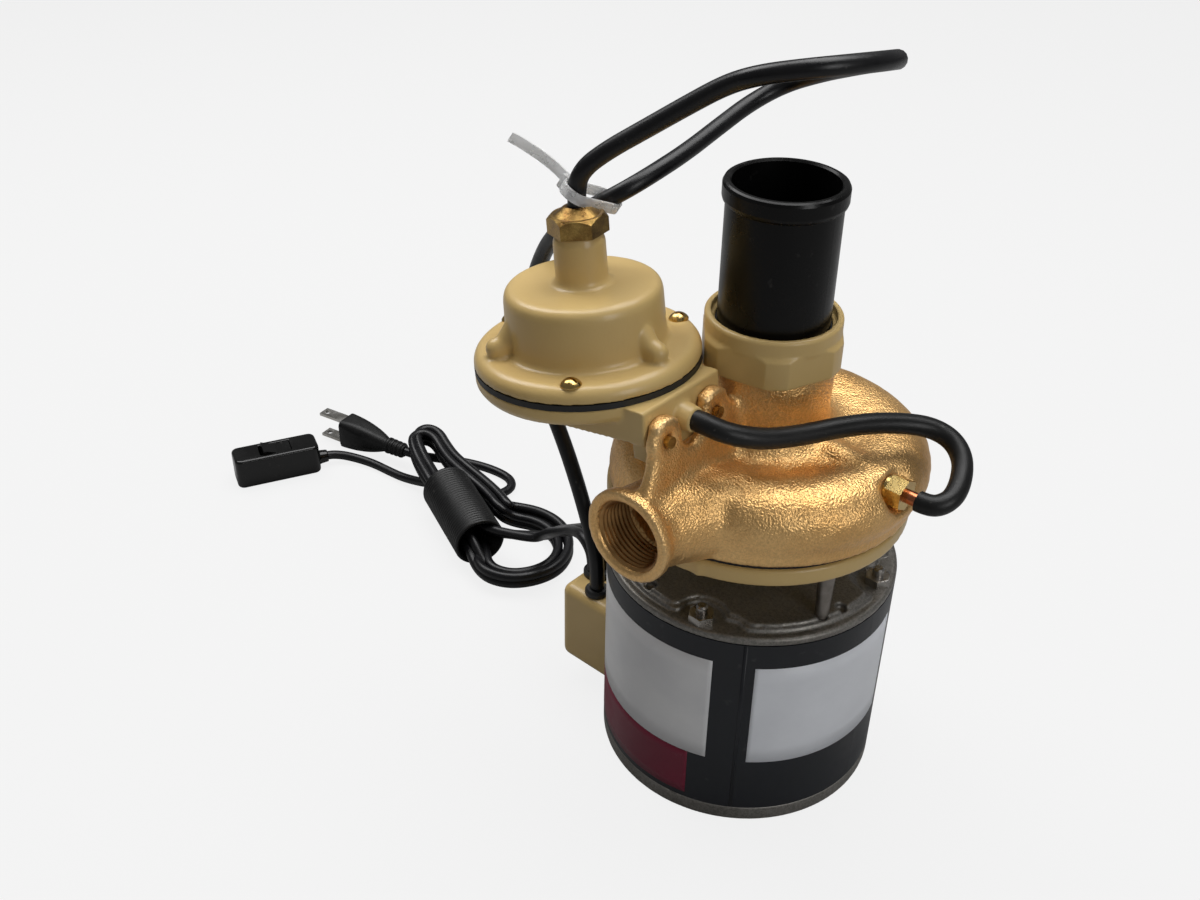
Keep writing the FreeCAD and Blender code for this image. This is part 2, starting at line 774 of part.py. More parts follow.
def casing_hollow():
    """Everything the water flows through, less the bosses that the screws go into."""
    chamber = rod(chamber_radius, casing_bottom - 1.0, chamber_top)
    channel = horn(channel_first_reach, channel_growth, channel_first_size, channel_size_growth, 1.0)
    bore = lying_rod(discharge_bore, V(0, -discharge_face - 1, discharge_height), V(0, -36, discharge_height))
    mouth = V(0, -discharge_face, discharge_height)
    thread = lying_rod(pipe_thread_radius, mouth, mouth + V(0, pipe_thread_depth, 0))
    countersink = lying_cone(pipe_thread_radius + pipe_mouth_chamfer, pipe_thread_radius, mouth,
                             mouth + V(0, pipe_mouth_chamfer, 0))
    thread = thread.fuse(countersink)
    suction = rod(suction_bore, chamber_top - 1.0, tube_seat + 1.0)
    socket = rod(tube_radius + 0.3, tube_seat, neck_top + 1.0)
    hollow = chamber.fuse([channel, bore, suction, socket])
    for angle in post_angles:
        place = spot(angle, post_circle)
        hollow = hollow.cut(rod(stud_boss_radius, casing_bottom + 0.1, stud_boss_top, place.x, place.y))
    for angle in post_angles:
        place = spot(angle, post_circle)
        top = casing_bottom + stud_reach + 0.5
        hollow = hollow.fuse(rod(stud_radius + running, casing_bottom - 1, top, place.x, place.y))
    air_way = lying_rod(1.6, V(30, 0, air_height), V(air_boss_face + 1, 0, air_height))
    drop = rod(1.6, horn_height - 1.0, air_height, chamber_radius + 1.0, 0.0)
    hollow = hollow.fuse([thread, air_way, drop])
    for side in lug_spots:
        start = switch_point(arm_reach - 1, side, lug_height)
        end = switch_point(arm_reach + lug_thickness + 1, side, lug_height)
        hollow = hollow.fuse(lying_rod(2.0, start, end))
    return hollow


def slip_nut():
    """The painted six-sided slip nut: its corners are turned off and a round lip stands on top."""
    blank = turned([
        (0.0, nut_bottom),
        (nut_corner_radius, nut_bottom),
        (nut_corner_radius, nut_shoulder - 1.6),
        (nut_lip_radius, nut_shoulder),
        (0.0, nut_shoulder),
    ])
    body = prism(6, nut_flats, nut_bottom, nut_shoulder, nut_turn).common(blank)
    lip = rod(nut_lip_radius, nut_shoulder - 1.0, nut_top)
    lip = lip.makeChamfer(0.8, [e for e in lip.Edges if e.CenterOfMass.z > nut_top - 0.01])
    nut = body.fuse(lip)
    washer_top = neck_top + slip_washer_height
    nut = nut.cut(rod(neck_thread_radius, nut_bottom - 1, washer_top))
    nut = nut.cut(rod(tube_radius + 0.55, nut_bottom, nut_top + 1))
    return nut.cut(rod(nut_mouth_radius, washer_top + 1.4, nut_top + 1))


def slip_washer():
    top = neck_top + slip_washer_height
    return turned([
        (tube_radius + running, neck_top),
        (neck_thread_radius, neck_top),
        (neck_thread_radius, neck_top + 1.2),
        (tube_radius + 1.2, top),
        (tube_radius + running, top),
    ])


def inlet_tube():
    """The plastic tailpiece: a straight tube with a rolled bead round its mouth."""
    inner = tube_radius - tube_wall
    foot = tube_seat + tube_foot_gap
    bead_foot = tube_top - bead_height
    tube = turned([
        (inner, foot),
        (tube_radius - 0.5, foot),
        (tube_radius, foot + 0.5),
        (tube_radius, bead_foot - 1.0),
        (bead_radius - 0.3, bead_foot),
        (bead_radius, bead_foot + 1.0),
        (bead_radius, tube_top - 1.4),
        (bead_radius - 0.5, tube_top - 0.4),
        (bead_radius - 1.2, tube_top),
        (inner + 0.6, tube_top),
        (inner, tube_top - 0.6),
    ])
    return tube


def air_fitting():
    start = V(air_boss_face - 4.0, 0, air_height)
    collar = V(air_boss_face, 0, air_height)
    stem = lying_rod(1.6, start, collar)
    shoulder = lying_rod(4.4, collar, collar + V(1.4, 0, 0))
    hexagon = prism(6, air_nut_flats, 0, air_nut_length).rotated(V(0, 0, 0), V(0, 1, 0), 90)
    hexagon = hexagon.translated(collar + V(1.4, 0, 0))
    return stem.fuse([shoulder, hexagon])


def copper_tube():
    start = V(air_boss_face + 1.4 + air_nut_length, 0, air_height)
    return lying_rod(copper_radius, start, V(copper_end, 0, air_height))


def rounded_path(points):
    """Straight runs joined by tangent arcs, each as large as its two runs allow."""
    edges = []
    radii = []
    last = points[0]
    for before, corner, after in zip(points, points[1:], points[2:]):
        back = before - corner
        ahead = after - corner
        bend = math.pi - back.getAngle(ahead)
        run = 0.45 * min(back.Length, ahead.Length)
        radii.append(run / math.tan(bend / 2))
        start = corner + back.normalize() * run
        end = corner + ahead.normalize() * run
        inward = (back + ahead).normalize()
        centre_way = math.hypot(run, radii[-1]) - radii[-1]
        edges.append(Part.LineSegment(last, start).toShape())
        edges.append(Part.Arc(start, corner + inward * centre_way, end).toShape())
        last = end
    edges.append(Part.LineSegment(last, points[-1]).toShape())
    return Part.Wire(edges), radii


def cord(name, points, radius):
    """A plain tube along a route, with its smallest bend and its volume checked."""
    wire, radii = rounded_path(points)
    profile = Part.Wire(Part.Circle(points[0], points[1] - points[0], radius).toShape())
    tube = wire.makePipeShell([profile], True, False)
    expected = math.pi * radius ** 2 * wire.Length
    print(name, "length %.0f" % wire.Length, "smallest radius %.1f" % min(radii),
          "volume ratio %.3f" % (tube.Volume / expected))
    return tube


def vent_hose():
    route = [
        switch_point(arm_reach + nozzle_length, nozzle_side, nozzle_height),
        switch_point(arm_reach + nozzle_length + 5.0, nozzle_side, nozzle_height),
        V(13.4, -44.0, 167.0),
        V(18.2, -39.4, 165.0),
        V(22.6, -32.2, 162.6),
        V(28.0, -19.6, 160.6),
        V(33.4, -7.0, 160.0),
        V(39.4, 4.6, 159.0),
        V(46.0, 14.6, 157.2),
        V(52.8, 21.4, 155.4),
        V(60.0, 23.6, 152.6),
        V(66.2, 20.4, 149.2),
        V(70.0, 13.6, 145.8),
        V(71.4, 6.8, 143.0),
        V(69.6, 2.2, 141.5),
        V(66.4, 0.0, 141.0),
        V(copper_end, 0.0, air_height),
    ]
    return cord("vent_hose", route, hose_radius)


def switch_base():
    """The painted base: a shallow bowl under the diaphragm with a square arm to the web."""
    bowl = turned([
        (0.0, -diaphragm_thickness),
        (flange_radius, -diaphragm_thickness),
        (flange_radius, -diaphragm_thickness - 3.2),
        (flange_radius - 1.0, -diaphragm_thickness - 4.8),
        (base_foot_radius, -base_depth),
        (0.0, -base_depth),
    ])
    side = [V(0, 0, -3), V(arm_reach, 0, -diaphragm_thickness), V(arm_reach, 0, arm_bottom),
            V(6, 0, arm_root_bottom), V(0, 0, arm_root_bottom + 2), V(0, 0, -3)]
    arm = Part.Face(Part.makePolygon(side)).extrude(V(0, arm_back - arm_front, 0))
    arm = arm.translated(V(0, arm_front, 0))
    pad = block(arm_reach - 6, arm_reach, arm_front + 1, arm_back - 1, lug_height - 7, arm_bottom)
    nozzle_root = V(arm_reach - 2, nozzle_side, nozzle_height)
    nozzle_end = V(arm_reach + nozzle_length, nozzle_side, nozzle_height)
    nozzle = lying_cone(nozzle_radius + 0.8, nozzle_radius, nozzle_root, nozzle_end)
    base = bowl.fuse([arm, pad, nozzle])
    base = base.cut(rod(28.0, -5.0, 0.0))
    base = base.cut(lying_rod(1.5, V(10, nozzle_side, nozzle_height), nozzle_end + V(1, 0, 0)))
    base = base.cut(rod(1.5, nozzle_height, -4.0, 10.0, nozzle_side))
    for side_place in lug_spots:
        pocket = lying_rod(4.3, V(24, side_place, lug_height), V(arm_reach - 6, side_place, lug_height))
        hole = lying_rod(2.2, V(24, side_place, lug_height), V(arm_reach + 1, side_place, lug_height))
        opening = block(24, arm_reach - 6, side_place - 4.3, side_place + 4.3, -24, lug_height)
        base = base.cut(pocket).cut(hole).cut(opening)
    for angle in cover_screw_angles:
        place = spot(angle, cover_screw_circle)
        base = base.cut(rod(1.6, -7.0, 0.0, place.x, place.y))
    return base.removeSplitter()


def base_screw(side):
    head = lying_rod(3.6, V(arm_reach - 8.6, side, lug_height), V(arm_reach - 6, side, lug_height))
    tip = V(arm_reach + lug_thickness + 0.9, side, lug_height)
    shank = lying_rod(2.0, V(arm_reach - 7, side, lug_height), tip)
    return head.fuse(shank)


def diaphragm():
    """The rubber sheet, clamped round its edge, with one shallow roll inside the clamp."""
    t = diaphragm_thickness
    sheet = turned([
        (0.0, -t + 0.5),
        (20.0, -t + 0.5),
        (22.0, -t - 1.0),
        (25.0, -t - 1.0),
        (27.0, -t),
        (flange_radius, -t),
        (flange_radius, 0.0),
        (27.5, 0.0),
        (25.0, -1.8),
        (22.5, -1.8),
        (20.5, -0.5),
        (0.0, -0.5),
    ])
    for angle in cover_screw_angles:
        place = spot(angle, cover_screw_circle)
        sheet = sheet.cut(rod(1.8, -t - 1, 1.0, place.x, place.y))
    return sheet


def diaphragm_plate():
    """The disc that rides on the diaphragm, with the spring's hub and the pin above it."""
    return turned([
        (0.0, -0.5),
        (18.0, -0.5),
        (19.0, 0.3),
        (19.0, 1.0),
        (6.0, 1.0),
        (6.0, 4.0),
        (2.2, 5.0),
        (2.2, 9.0),
        (1.2, 10.0),
        (0.0, 10.0),
    ])


def switch_spring():
    """The coil that holds the plate down until the water's air pressure lifts it."""
    bottom = 1.4
    top = 12.2
    turns = 4.0
    coil_radius = 8.0
    wire_radius = 0.6
    path = Part.makeHelix((top - bottom - 2 * wire_radius) / turns, top - bottom - 2 * wire_radius, coil_radius)
    profile = Part.Wire(Part.Circle(V(coil_radius, 0, 0), V(0, 1, 0), wire_radius).toShape())
    coil = Part.Wire(path).makePipeShell([profile], True, True)
    return coil.translated(V(0, 0, bottom + wire_radius))


def snap_bracket():
    """The bridge above the spring; it hangs from the cover's roof on two pillars."""
    roof = dome_height - dome_wall
    bridge = ring(11.0, 3.0, 12.6, 14.2)
    for side in (-1, 1):
        arm = block(-3.0, 3.0, side * 14.0 - 5.0, side * 14.0 + 5.0, 12.6, 14.2)
        bridge = bridge.fuse(arm).fuse(rod(2.4, 14.2, roof, 0.0, side * 15.0))
    return bridge.removeSplitter()


def snap_switch():
    """The snap switch body with its three blade terminals."""
    body = block(-10.0, 10.0, -4.0, 4.0, 14.2, 20.8)
    body = rounded(body, 0.8, UP)
    body = body.cut(rod(1.4, 13.0, 18.8))
    for x in (-7.0, 0.0, 7.0):
        body = body.fuse(block(x - 1.6, x + 1.6, -0.4, 0.4, 20.6, 22.6))
    return body


def snap_button():
    return rod(1.1, 10.2, 16.0)


def cover():
    """The painted cover: thick round-edged flange, dome, three ribs and the cable neck."""
    shell = turned([
        (0.0, 0.0),
        (flange_radius, 0.0),
        (flange_radius, 1.8),
        (flange_radius - 0.6, 3.5),
        (flange_radius - 1.8, 4.8),
        (flange_radius - 3.4, flange_height),
        (dome_radius + 1.8, flange_height),
        (dome_radius + 0.5, flange_height + 0.6),
        (dome_radius, flange_height + 2.0),
        (dome_top_radius, dome_height - 3.8),
        (dome_top_radius - 0.5, dome_height - 1.8),
        (dome_top_radius - 1.7, dome_height - 0.5),
        (dome_top_radius - 3.6, dome_height),
        (dome_neck_radius + 2.0, dome_height),
        (dome_neck_radius + 0.6, dome_height + 0.6),
        (dome_neck_radius, dome_height + 2.2),
        (dome_neck_radius - 0.1, dome_neck_height - 2.6),
        (dome_neck_radius - 0.7, dome_neck_height - 1.2),
        (dome_neck_radius - 0.9, dome_neck_height),
        (0.0, dome_neck_height),
    ])
    for angle in rib_angles:
        outer = V(dome_radius + 4.1, 0, flange_height - 0.4)
        rib = lying_cone(4.0, 3.3, V(dome_radius - 3.5, 0, 15.0), outer)
        tip = Part.makeSphere(3.3, outer)
        rib = rib.fuse(tip).common(block(20, flange_radius - 1, -6, 6, 2, 24))
        shell = shell.fuse(spun(rib, angle))
    hollow = rod(dome_radius - dome_wall, 2.0, dome_height - dome_wall)
    hollow = hollow.fuse(rod(30.0, -1.0, 3.0))
    hollow = hollow.fuse(rod(4.2, 20.0, 60.0)).fuse(rod(5.4, 38.0, 60.0))
    shell = shell.cut(hollow)
    for angle in cover_screw_angles:
        place = spot(angle, cover_screw_circle)
        shell = shell.cut(rod(1.8, -1.0, 9.0, place.x, place.y))
        shell = shell.cut(rod(3.9, flange_height - 0.3, 12.0, place.x, place.y))
    return shell


def cover_screw(angle):
    """A round-headed brass screw with a slot."""
    place = spot(angle, cover_screw_circle)
    seat = flange_height - 0.3
    head = Part.makeSphere(4.0, V(0, 0, seat - 1.6)).common(rod(3.5, seat, seat + 3))
    slot = block(-4, 4, -0.45, 0.45, seat + 1.5, seat + 4)
    head = head.cut(slot)
    return head.fuse(rod(1.6, -6.5, seat + 0.5)).translated(V(place.x, place.y, 0))


def gland_nut():
    """The brass cable gland: a hexagon on the neck, a rounded cap above, a stem inside."""
    bottom = dome_neck_height
    top = bottom + gland_height
    hexagon = prism(6, gland_flats, bottom, top, gland_turn)
    cone = Part.makeCone(gland_flats / 2 + 4.0, gland_flats / 2 - 0.2, 4.2, V(0, 0, top - 4.2 + 0.001), UP)
    hexagon = hexagon.common(cone.fuse(rod(gland_flats, bottom, top - 3.0)))
    cap_top = top + gland_cap
    cap = turned([(0, top - 1), (7.4, top - 1), (7.4, top), (4.6, cap_top - 0.4), (3.8, cap_top), (0, cap_top)])
    stem = rod(5.4, bottom - 5.0, bottom + 1.0)
    return hexagon.fuse([cap, stem]).cut(rod(lead_radius, bottom - 6.0, top + 5.0))


def switch_lead():
    route = [
        switch_point(0, 0, dome_neck_height),
        switch_point(0, 0, gland_top + 4.4),
        V(-46.0, -45.4, 238.0),
        V(-39.4, -41.0, 244.8),
        V(-29.0, -35.0, 252.8),
        V(-18.2, -30.4, 261.0),
        V(-6.4, -27.4, 269.4),
        V(4.6, -27.4, 274.6),
        V(15.4, -23.6, 277.6),
        V(23.6, -14.6, 278.6),
        V(27.4, -1.4, 277.6),
        V(25.6, 13.0, 274.8),
        V(18.0, 26.2, 270.2),
        V(6.4, 36.4, 264.8),
        V(-7.4, 43.2, 258.8),
        V(-21.4, 46.6, 252.8),
        V(-33.0, 43.2, 247.4),
        V(-38.8, 32.0, 242.2),
        V(-39.6, 16.4, 237.8),
        V(-39.2, -1.2, 233.8),
        V(-39.8, -16.6, 230.8),
        V(-42.2, -26.8, 227.6),
        V(-47.8, -31.4, 223.2),
        V(-56.6, -33.6, 217.0),
        V(-66.6, -33.2, 208.0),
        V(-78.0, -28.5, 196.6),
        V(-88.4, -24.7, 178.6),
        V(-93.6, -22.0, 159.9),
        V(-94.6, -18.2, 139.8),
        V(-89.4, -16.4, 122.8),
        V(-80.8, -16.6, 107.8),
        V(-72.7, -17.7, 93.1),
        V(-65.6, -19.0, 78.8),
        V(-59.4, -21.2, 67.6),
        lead_hole + V(0, 0, bushing_rise + 7.5),
        lead_hole,
    ]
    return cord("switch_lead", route, lead_radius)


def zip_tie():
    """A flat nylon tie round the two passes of the lead, with its tail left long."""
    side = tie_near.sub(tie_far).cross(tie_faces).normalize()
    up = V(tie_faces).normalize()
    way = tie_far - tie_near
    along = (way - up * way.dot(up)).normalize()
    half = way.dot(along) / 2
    middle = (tie_near + tie_far) * 0.5

    def oval(radius):
        a = middle + along * half
        b = middle - along * half
        edges = [
            Part.LineSegment(b + side * radius, a + side * radius).toShape(),
            Part.Arc(a + side * radius, a + along * radius, a - side * radius).toShape(),
            Part.LineSegment(a - side * radius, b - side * radius).toShape(),
            Part.Arc(b - side * radius, b - along * radius, b + side * radius).toShape(),
        ]
        return Part.Face(Part.Wire(edges))

    band = oval(tie_inner + tie_thickness).cut(oval(tie_inner))
    band = band.extrude(up * tie_width).translated(up * -tie_width / 2)
    corner = middle + side * (tie_inner + tie_thickness) - along * half * 0.4
    turn = FreeCAD.Rotation(along, side, up, "XYZ")
    head = Part.makeBox(4.6, 3.6, tie_width + 1.6, V(-2.3, -1.0, -tie_width / 2 - 0.8))
    head.Placement = FreeCAD.Placement(corner, turn)
    tail = Part.makeBox(tie_tail, tie_thickness, tie_width, V(-tie_tail, 0.4, -tie_width / 2))
    tail.Placement = FreeCAD.Placement(corner, turn)
    return band.fuse([head, tail])


def motor_box():
    """The painted wiring box, open towards the motor and closed by the motor's shell."""
    outside = block(box_outer, -38.0, -box_half_width, box_half_width, box_bottom, box_top)
    edges = [e for e in outside.Edges if e.BoundBox.XMin < -40]
    outside = outside.makeFillet(box_corner, [e for e in edges if e.CenterOfMass.x < box_outer + 0.1
                                              or e.BoundBox.XLength > 20])
    inside = block(box_outer + box_wall, -30.0, box_wall - box_half_width, box_half_width - box_wall,
                   box_bottom + box_wall, box_top - box_wall)
    inside = rounded(inside, 2.4, V(0, 0, 1))
    box = outside.cut(inside).cut(rod(motor_radius, 0.0, 100.0))
    for hole, radius in ((lead_hole, lead_bushing_radius), (mains_hole, mains_bushing_radius)):
        box = box.cut(rod(radius, box_top - 5, box_top + 1, hole.x, hole.y))
    pieces = sorted(box.Solids, key=lambda solid: solid.Volume)
    return pieces[-1]


def bushing(hole, neck, bores):
    """A strain relief bushing clipped in the box's roof."""
    body = turned([
        (0.0, -3.4),
        (neck - 0.4, -3.4),
        (neck, -box_wall),
        (neck, 0.0),
        (neck + 1.0, 0.0),
        (neck + 1.0, 1.6),
        (neck + 0.2, bushing_rise),
        (0.0, bushing_rise),
    ]).translated(hole)
    for place, radius in bores:
        body = body.cut(rod(radius, hole.z - 5, hole.z + 5, place.x, place.y))
    return body


def beside(points, side):
    """Move a route half a cord's width to one side, so that two cords lie next to each other."""
    step = V(cords_apart).normalize() * side * (cord_radius + cord_gap)
    return [point + step for point in points]


def cord_from_box(side):
    route = [
        mains_hole,
        mains_hole + V(0, 0, bushing_rise + 5.0),
        V(-67.6, -12.2, 60.8),
        V(-74.4, -9.6, 62.2),
        V(-83.0, -5.4, 57.6),
        V(-92.8, -0.6, 49.4),
        V(-103.6, 5.2, 40.2),
        V(-113.6, 10.8, 31.4),
        V(-121.4, 15.4, 23.2),
        V(-126.0, 18.6, 14.0),
    ]
    name = "plug_cord_near" if side > 0 else "switch_cord_near"
    return cord(name, beside(route, side), cord_radius)


def switch_cord_far():
    low = cord_radius + 0.2
    route = [
        rocker_cord_end(),
        V(-269.6, 5.6, 4.9),
        V(-265.2, 10.8, 3.6),
        V(-256.2, 15.3, low),
        V(-248.5, 16.9, low),
        V(-239.8, 17.6, low),
        V(-230.4, 18.4, low + 0.2),
        V(-221.6, 19.4, 4.0),
        V(-212.4, 20.4, 6.2),
        V(-203.6, 20.8, 9.0),
        V(-195.6, 19.6, 11.0),
    ]
    return cord("switch_cord_far", route, cord_radius)


def plug_cord_far():
    low = cord_radius + 0.2
    route = [
        plug_tail,
        plug_tail + (plug_tail - plug_front).normalize() * 4.4,
        V(-231.4, 34.2, 7.4),
        V(-229.0, 39.8, 4.6),
        V(-224.4, 45.6, low + 0.2),
        V(-215.1, 50.9, low),
        V(-204.9, 54.5, low),
        V(-195.0, 56.2, low),
        V(-187.0, 55.6, low),
        V(-181.6, 51.4, low),
        V(-181.0, 44.6, low),
        V(-182.6, 37.6, 3.6),
        V(-184.4, 30.0, 5.4),
        V(-186.6, 21.6, 8.0),
    ]
    return cord("plug_cord_far", route, cord_radius)


def cord_hank():
    """The outer shape of the bundled cord: a wrapped middle, a wide loop and a narrow fold."""
    sleeve = lying_rod(hank_radius, hank_start, hank_end)
    wide = [
        V(-170.0, 14.0, 8.2),
        V(-156.0, -4.0, 8.2),
        V(-142.0, -11.4, 8.2),
        V(-125.4, -6.2, 8.2),
        V(-118.8, 9.0, 8.2),
        V(-123.4, 25.0, 8.2),
        V(-136.4, 33.6, 8.2),
        V(-151.6, 31.4, 8.2),
        V(-163.0, 22.0, 8.2),
        V(-171.0, 10.0, 8.2),
    ]
    narrow = [
        V(-190.0, 11.0, 13.0),
        V(-204.0, 17.0, 13.2),
        V(-217.0, 22.6, 14.6),
        V(-227.4, 27.6, 16.8),
        V(-233.8, 32.4, 18.0),
        V(-233.6, 38.8, 18.2),
        V(-227.0, 41.6, 17.2),
        V(-216.0, 37.4, 15.0),
        V(-203.0, 31.0, 13.4),
        V(-190.0, 24.6, 13.0),
    ]
    half = len(wide) // 2
    meeting = (wide[half - 1] + wide[half]) * 0.5
    hank = sleeve.fuse(cord("wide loop out", wide[:half] + [meeting], loop_radius))
    hank = hank.fuse(cord("wide loop back", [meeting] + wide[half:], loop_radius))
    return hank.fuse(cord("narrow fold", narrow, fold_radius))


def rounded_face(centre, along, width, height, radius):
    """A rounded rectangle that stands across a level direction."""
    side = V(-along.y, along.x, 0).normalize()
    corners = []
    for across, up in ((1, 1), (-1, 1), (-1, -1), (1, -1)):
        corners.append(centre + side * across * width / 2 + V(0, 0, up * height / 2))
    edges = []
    for i in range(4):
        before, here, after = corners[i - 1], corners[i], corners[(i + 1) % 4]
        start = here + (before - here).normalize() * radius
        end = here + (after - here).normalize() * radius
        inward = ((before - here).normalize() + (after - here).normalize()).normalize()
        middle = here + inward * radius * (math.sqrt(2) - 1)
        edges.append(Part.Arc(start, middle, end).toShape())
        following = after + (here - after).normalize() * radius
        edges.append(Part.LineSegment(end, following).toShape())
    return Part.Wire(edges)


def plug():
    """A moulded plug on its side: ribbed neck, swelling body and two flat prongs."""
    way = plug_front - plug_tail
    along = V(way).normalize()
    length = way.Length
    body_start = plug_tail + along * plug_neck_length
    sections = []
    for step, width, height, radius in ((0.0, 7.4, 8.0, 3.4), (0.34, 11.4, 13.4, 4.0),
                                        (0.62, 12.8, 16.0, 4.0), (1.0, 13.0, 16.0, 2.2)):
        centre = body_start + along * step * (length - plug_neck_length)
        wide = width * plug_face_width / 13.0
        high = height * plug_face_height / 16.0
        sections.append(rounded_face(centre, along, wide, high, radius))
    body = Part.makeLoft(sections, True, False)
    neck = lying_cone(plug_tail_radius, plug_tail_radius + 0.5, plug_tail, body_start + along * 0.5)
    body = body.fuse(neck)
    for i in range(4):
        start = plug_tail + along * (1.2 + 2.8 * i)
        body = body.fuse(lying_rod(plug_tail_radius + 0.9 + 0.1 * i, start, start + along * 1.6))
    for level in (-1, 1):
        prong = block(0, prong_length + 2, -prong_thickness / 2, prong_thickness / 2,
                      -prong_width / 2, prong_width / 2)
        hole = V(prong_length - 1.0, 0, 0)
        prong = prong.cut(lying_rod(1.6, hole - V(0, 5, 0), hole + V(0, 5, 0)))
        heading = math.degrees(math.atan2(along.y, along.x))
        prong = prong.rotated(V(0, 0, 0), V(1, 0, 0), 90).rotated(V(0, 0, 0), UP, heading)
        prong = prong.translated(plug_front - along * 2 + V(0, 0, level * prong_spacing / 2))
        body = body.fuse(prong)
    return body


def on_rocker_box(shape):
    return shape.rotated(V(0, 0, 0), UP, rocker_turn).translated(rocker_place)


def rocker_cord_end():
    turn = FreeCAD.Rotation(UP, rocker_turn)
    return rocker_place + turn.multVec(V(rocker_box_length / 2 + 5.0, 0, 5.0))


def rocker_box():
    """The small inline switch housing: rounded block, recess for the rocker, cord neck."""
    half = rocker_box_length / 2
    wide = rocker_box_width / 2
    body = block(-half, half, -wide, wide, 0.2, rocker_box_height)
    body = rounded(body, 3.4, UP)
    rims = [e for e in body.Edges if e.BoundBox.ZLength < 0.01]
    body = body.makeFillet(1.4, rims)
    body = body.fuse(lying_cone(3.9, 3.2, V(half - 1.5, 0, 5.0), V(half + 5.0, 0, 5.0)))
    recess = block(-rocker_length / 2 - 0.5, rocker_length / 2 + 0.5, -rocker_width / 2 - 0.3,
                   rocker_width / 2 + 0.3, rocker_box_height - 6.5, rocker_box_height + 1)
    seam = block(-half - 1, half + 1, -wide - 1, wide + 1, 7.0, 7.4)
    core = block(-half + 0.4, half - 0.4, 0.4 - wide, wide - 0.4, 6.0, 8.0)
    pivot_side = V(0, rocker_width / 2 + 1.6, rocker_pivot)
    pivot = lying_rod(1.2 + running, V(0, -pivot_side.y, rocker_pivot), pivot_side)
    return on_rocker_box(body.cut(seam.cut(core)).cut(recess).cut(pivot))


def rocker():
    """The paddle: two faces that meet at a shallow angle over its pivot."""
    half = rocker_length / 2
    high = rocker_box_height + 0.4
    low = rocker_box_height - 2.4
    side = [V(-half, 0, low), V(-half + 0.4, 0, high + 0.5), V(0, 0, high - 0.9), V(half - 0.4, 0, high + 0.5),
            V(half, 0, low), V(3.0, 0, rocker_pivot - 1.6), V(-3.0, 0, rocker_pivot - 1.6), V(-half, 0, low)]
    paddle = Part.Face(Part.makePolygon(side)).extrude(V(0, rocker_width, 0))
    paddle = paddle.translated(V(0, -rocker_width / 2, 0))
    pin = lying_rod(1.2, V(0, -rocker_width / 2 - 1.4, rocker_pivot), V(0, rocker_width / 2 + 1.4, rocker_pivot))
    paddle = paddle.fuse(pin)
    paddle = paddle.rotated(V(0, 0, rocker_pivot), V(0, 1, 0), rocker_lean)
    return on_rocker_box(paddle)


mains_centre = mains_hole + V(0, 0, bushing_rise)
mains_bores = [(point, cord_radius) for side in (1, -1) for point in beside([mains_centre], side)]

pieces = [
    ("motor_shell", motor_shell()),
    ("bottom_end_bell", bottom_end_bell()),
    ("top_end_bell", top_end_bell()),
    ("stator_core", stator_core()),
    ("stator_windings", windings()),
    ("rotor_core", rotor_core()),
    ("rotor_cage", rotor_cage()),
    ("shaft", shaft()),
    ("lower_bearing", bearing(lower_bearing_bottom)),
    ("upper_bearing", bearing(upper_bearing_bottom)),
    ("thrust_washer", thrust_washer()),
    ("slinger", slinger()),
    ("back_plate", back_plate()),
    ("casing_gasket", casing_gasket()),
    ("seal_seat", seal_seat()),
    ("seal_head", seal_head()),
    ("impeller", impeller()),
    ("impeller_nut", impeller_nut()),
    ("volute_casing", casing()),
    ("slip_nut", slip_nut()),
    ("slip_washer", slip_washer()),
    ("inlet_tube", inlet_tube()),
    ("air_fitting", air_fitting()),
    ("copper_tube", copper_tube()),
    ("vent_hose", vent_hose()),
    ("switch_base", on_switch(switch_base())),
    ("diaphragm", on_switch(diaphragm())),
    ("diaphragm_plate", on_switch(diaphragm_plate())),
    ("switch_spring", on_switch(switch_spring())),
    ("snap_bracket", on_switch(snap_bracket())),
    ("snap_switch", on_switch(snap_switch())),
    ("snap_button", on_switch(snap_button())),
    ("switch_cover", on_switch(cover())),
    ("gland_nut", on_switch(gland_nut())),
    ("switch_lead", switch_lead()),
    ("zip_tie", zip_tie()),
    ("motor_box", motor_box()),
    ("lead_bushing", bushing(lead_hole, lead_bushing_radius, [(lead_hole, lead_radius)])),
    ("mains_bushing", bushing(mains_hole, mains_bushing_radius, mains_bores)),
    ("plug_cord_near", cord_from_box(1)),
    ("plug_cord_far", plug_cord_far()),
    ("switch_cord_near", cord_from_box(-1)),
    ("switch_cord_far", switch_cord_far()),
    ("cord_hank", cord_hank()),
    ("plug", plug()),
    ("rocker_box", rocker_box()),
    ("rocker", rocker()),
]
for number, angle in enumerate(bolt_angles, 1):
    pieces.append(("through_bolt_%d" % number, through_bolt(angle)))
for number, angle in enumerate(post_angles, 1):
    pieces.append(("post_%d" % number, post(angle)))
for number, angle in enumerate(cover_screw_angles, 1):
    pieces.append(("cover_screw_%d" % number, on_switch(cover_screw(angle))))
for number, side in enumerate(lug_spots, 1):
    pieces.append(("base_screw_%d" % number, on_switch(base_screw(side))))

for name, shape in pieces:
    save(name, shape)
    print(name, shape.isValid(), len(shape.Solids), "%.0f" % shape.Volume)
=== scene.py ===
import bpy
import bmesh
import math
from mathutils import Matrix, Vector, noise


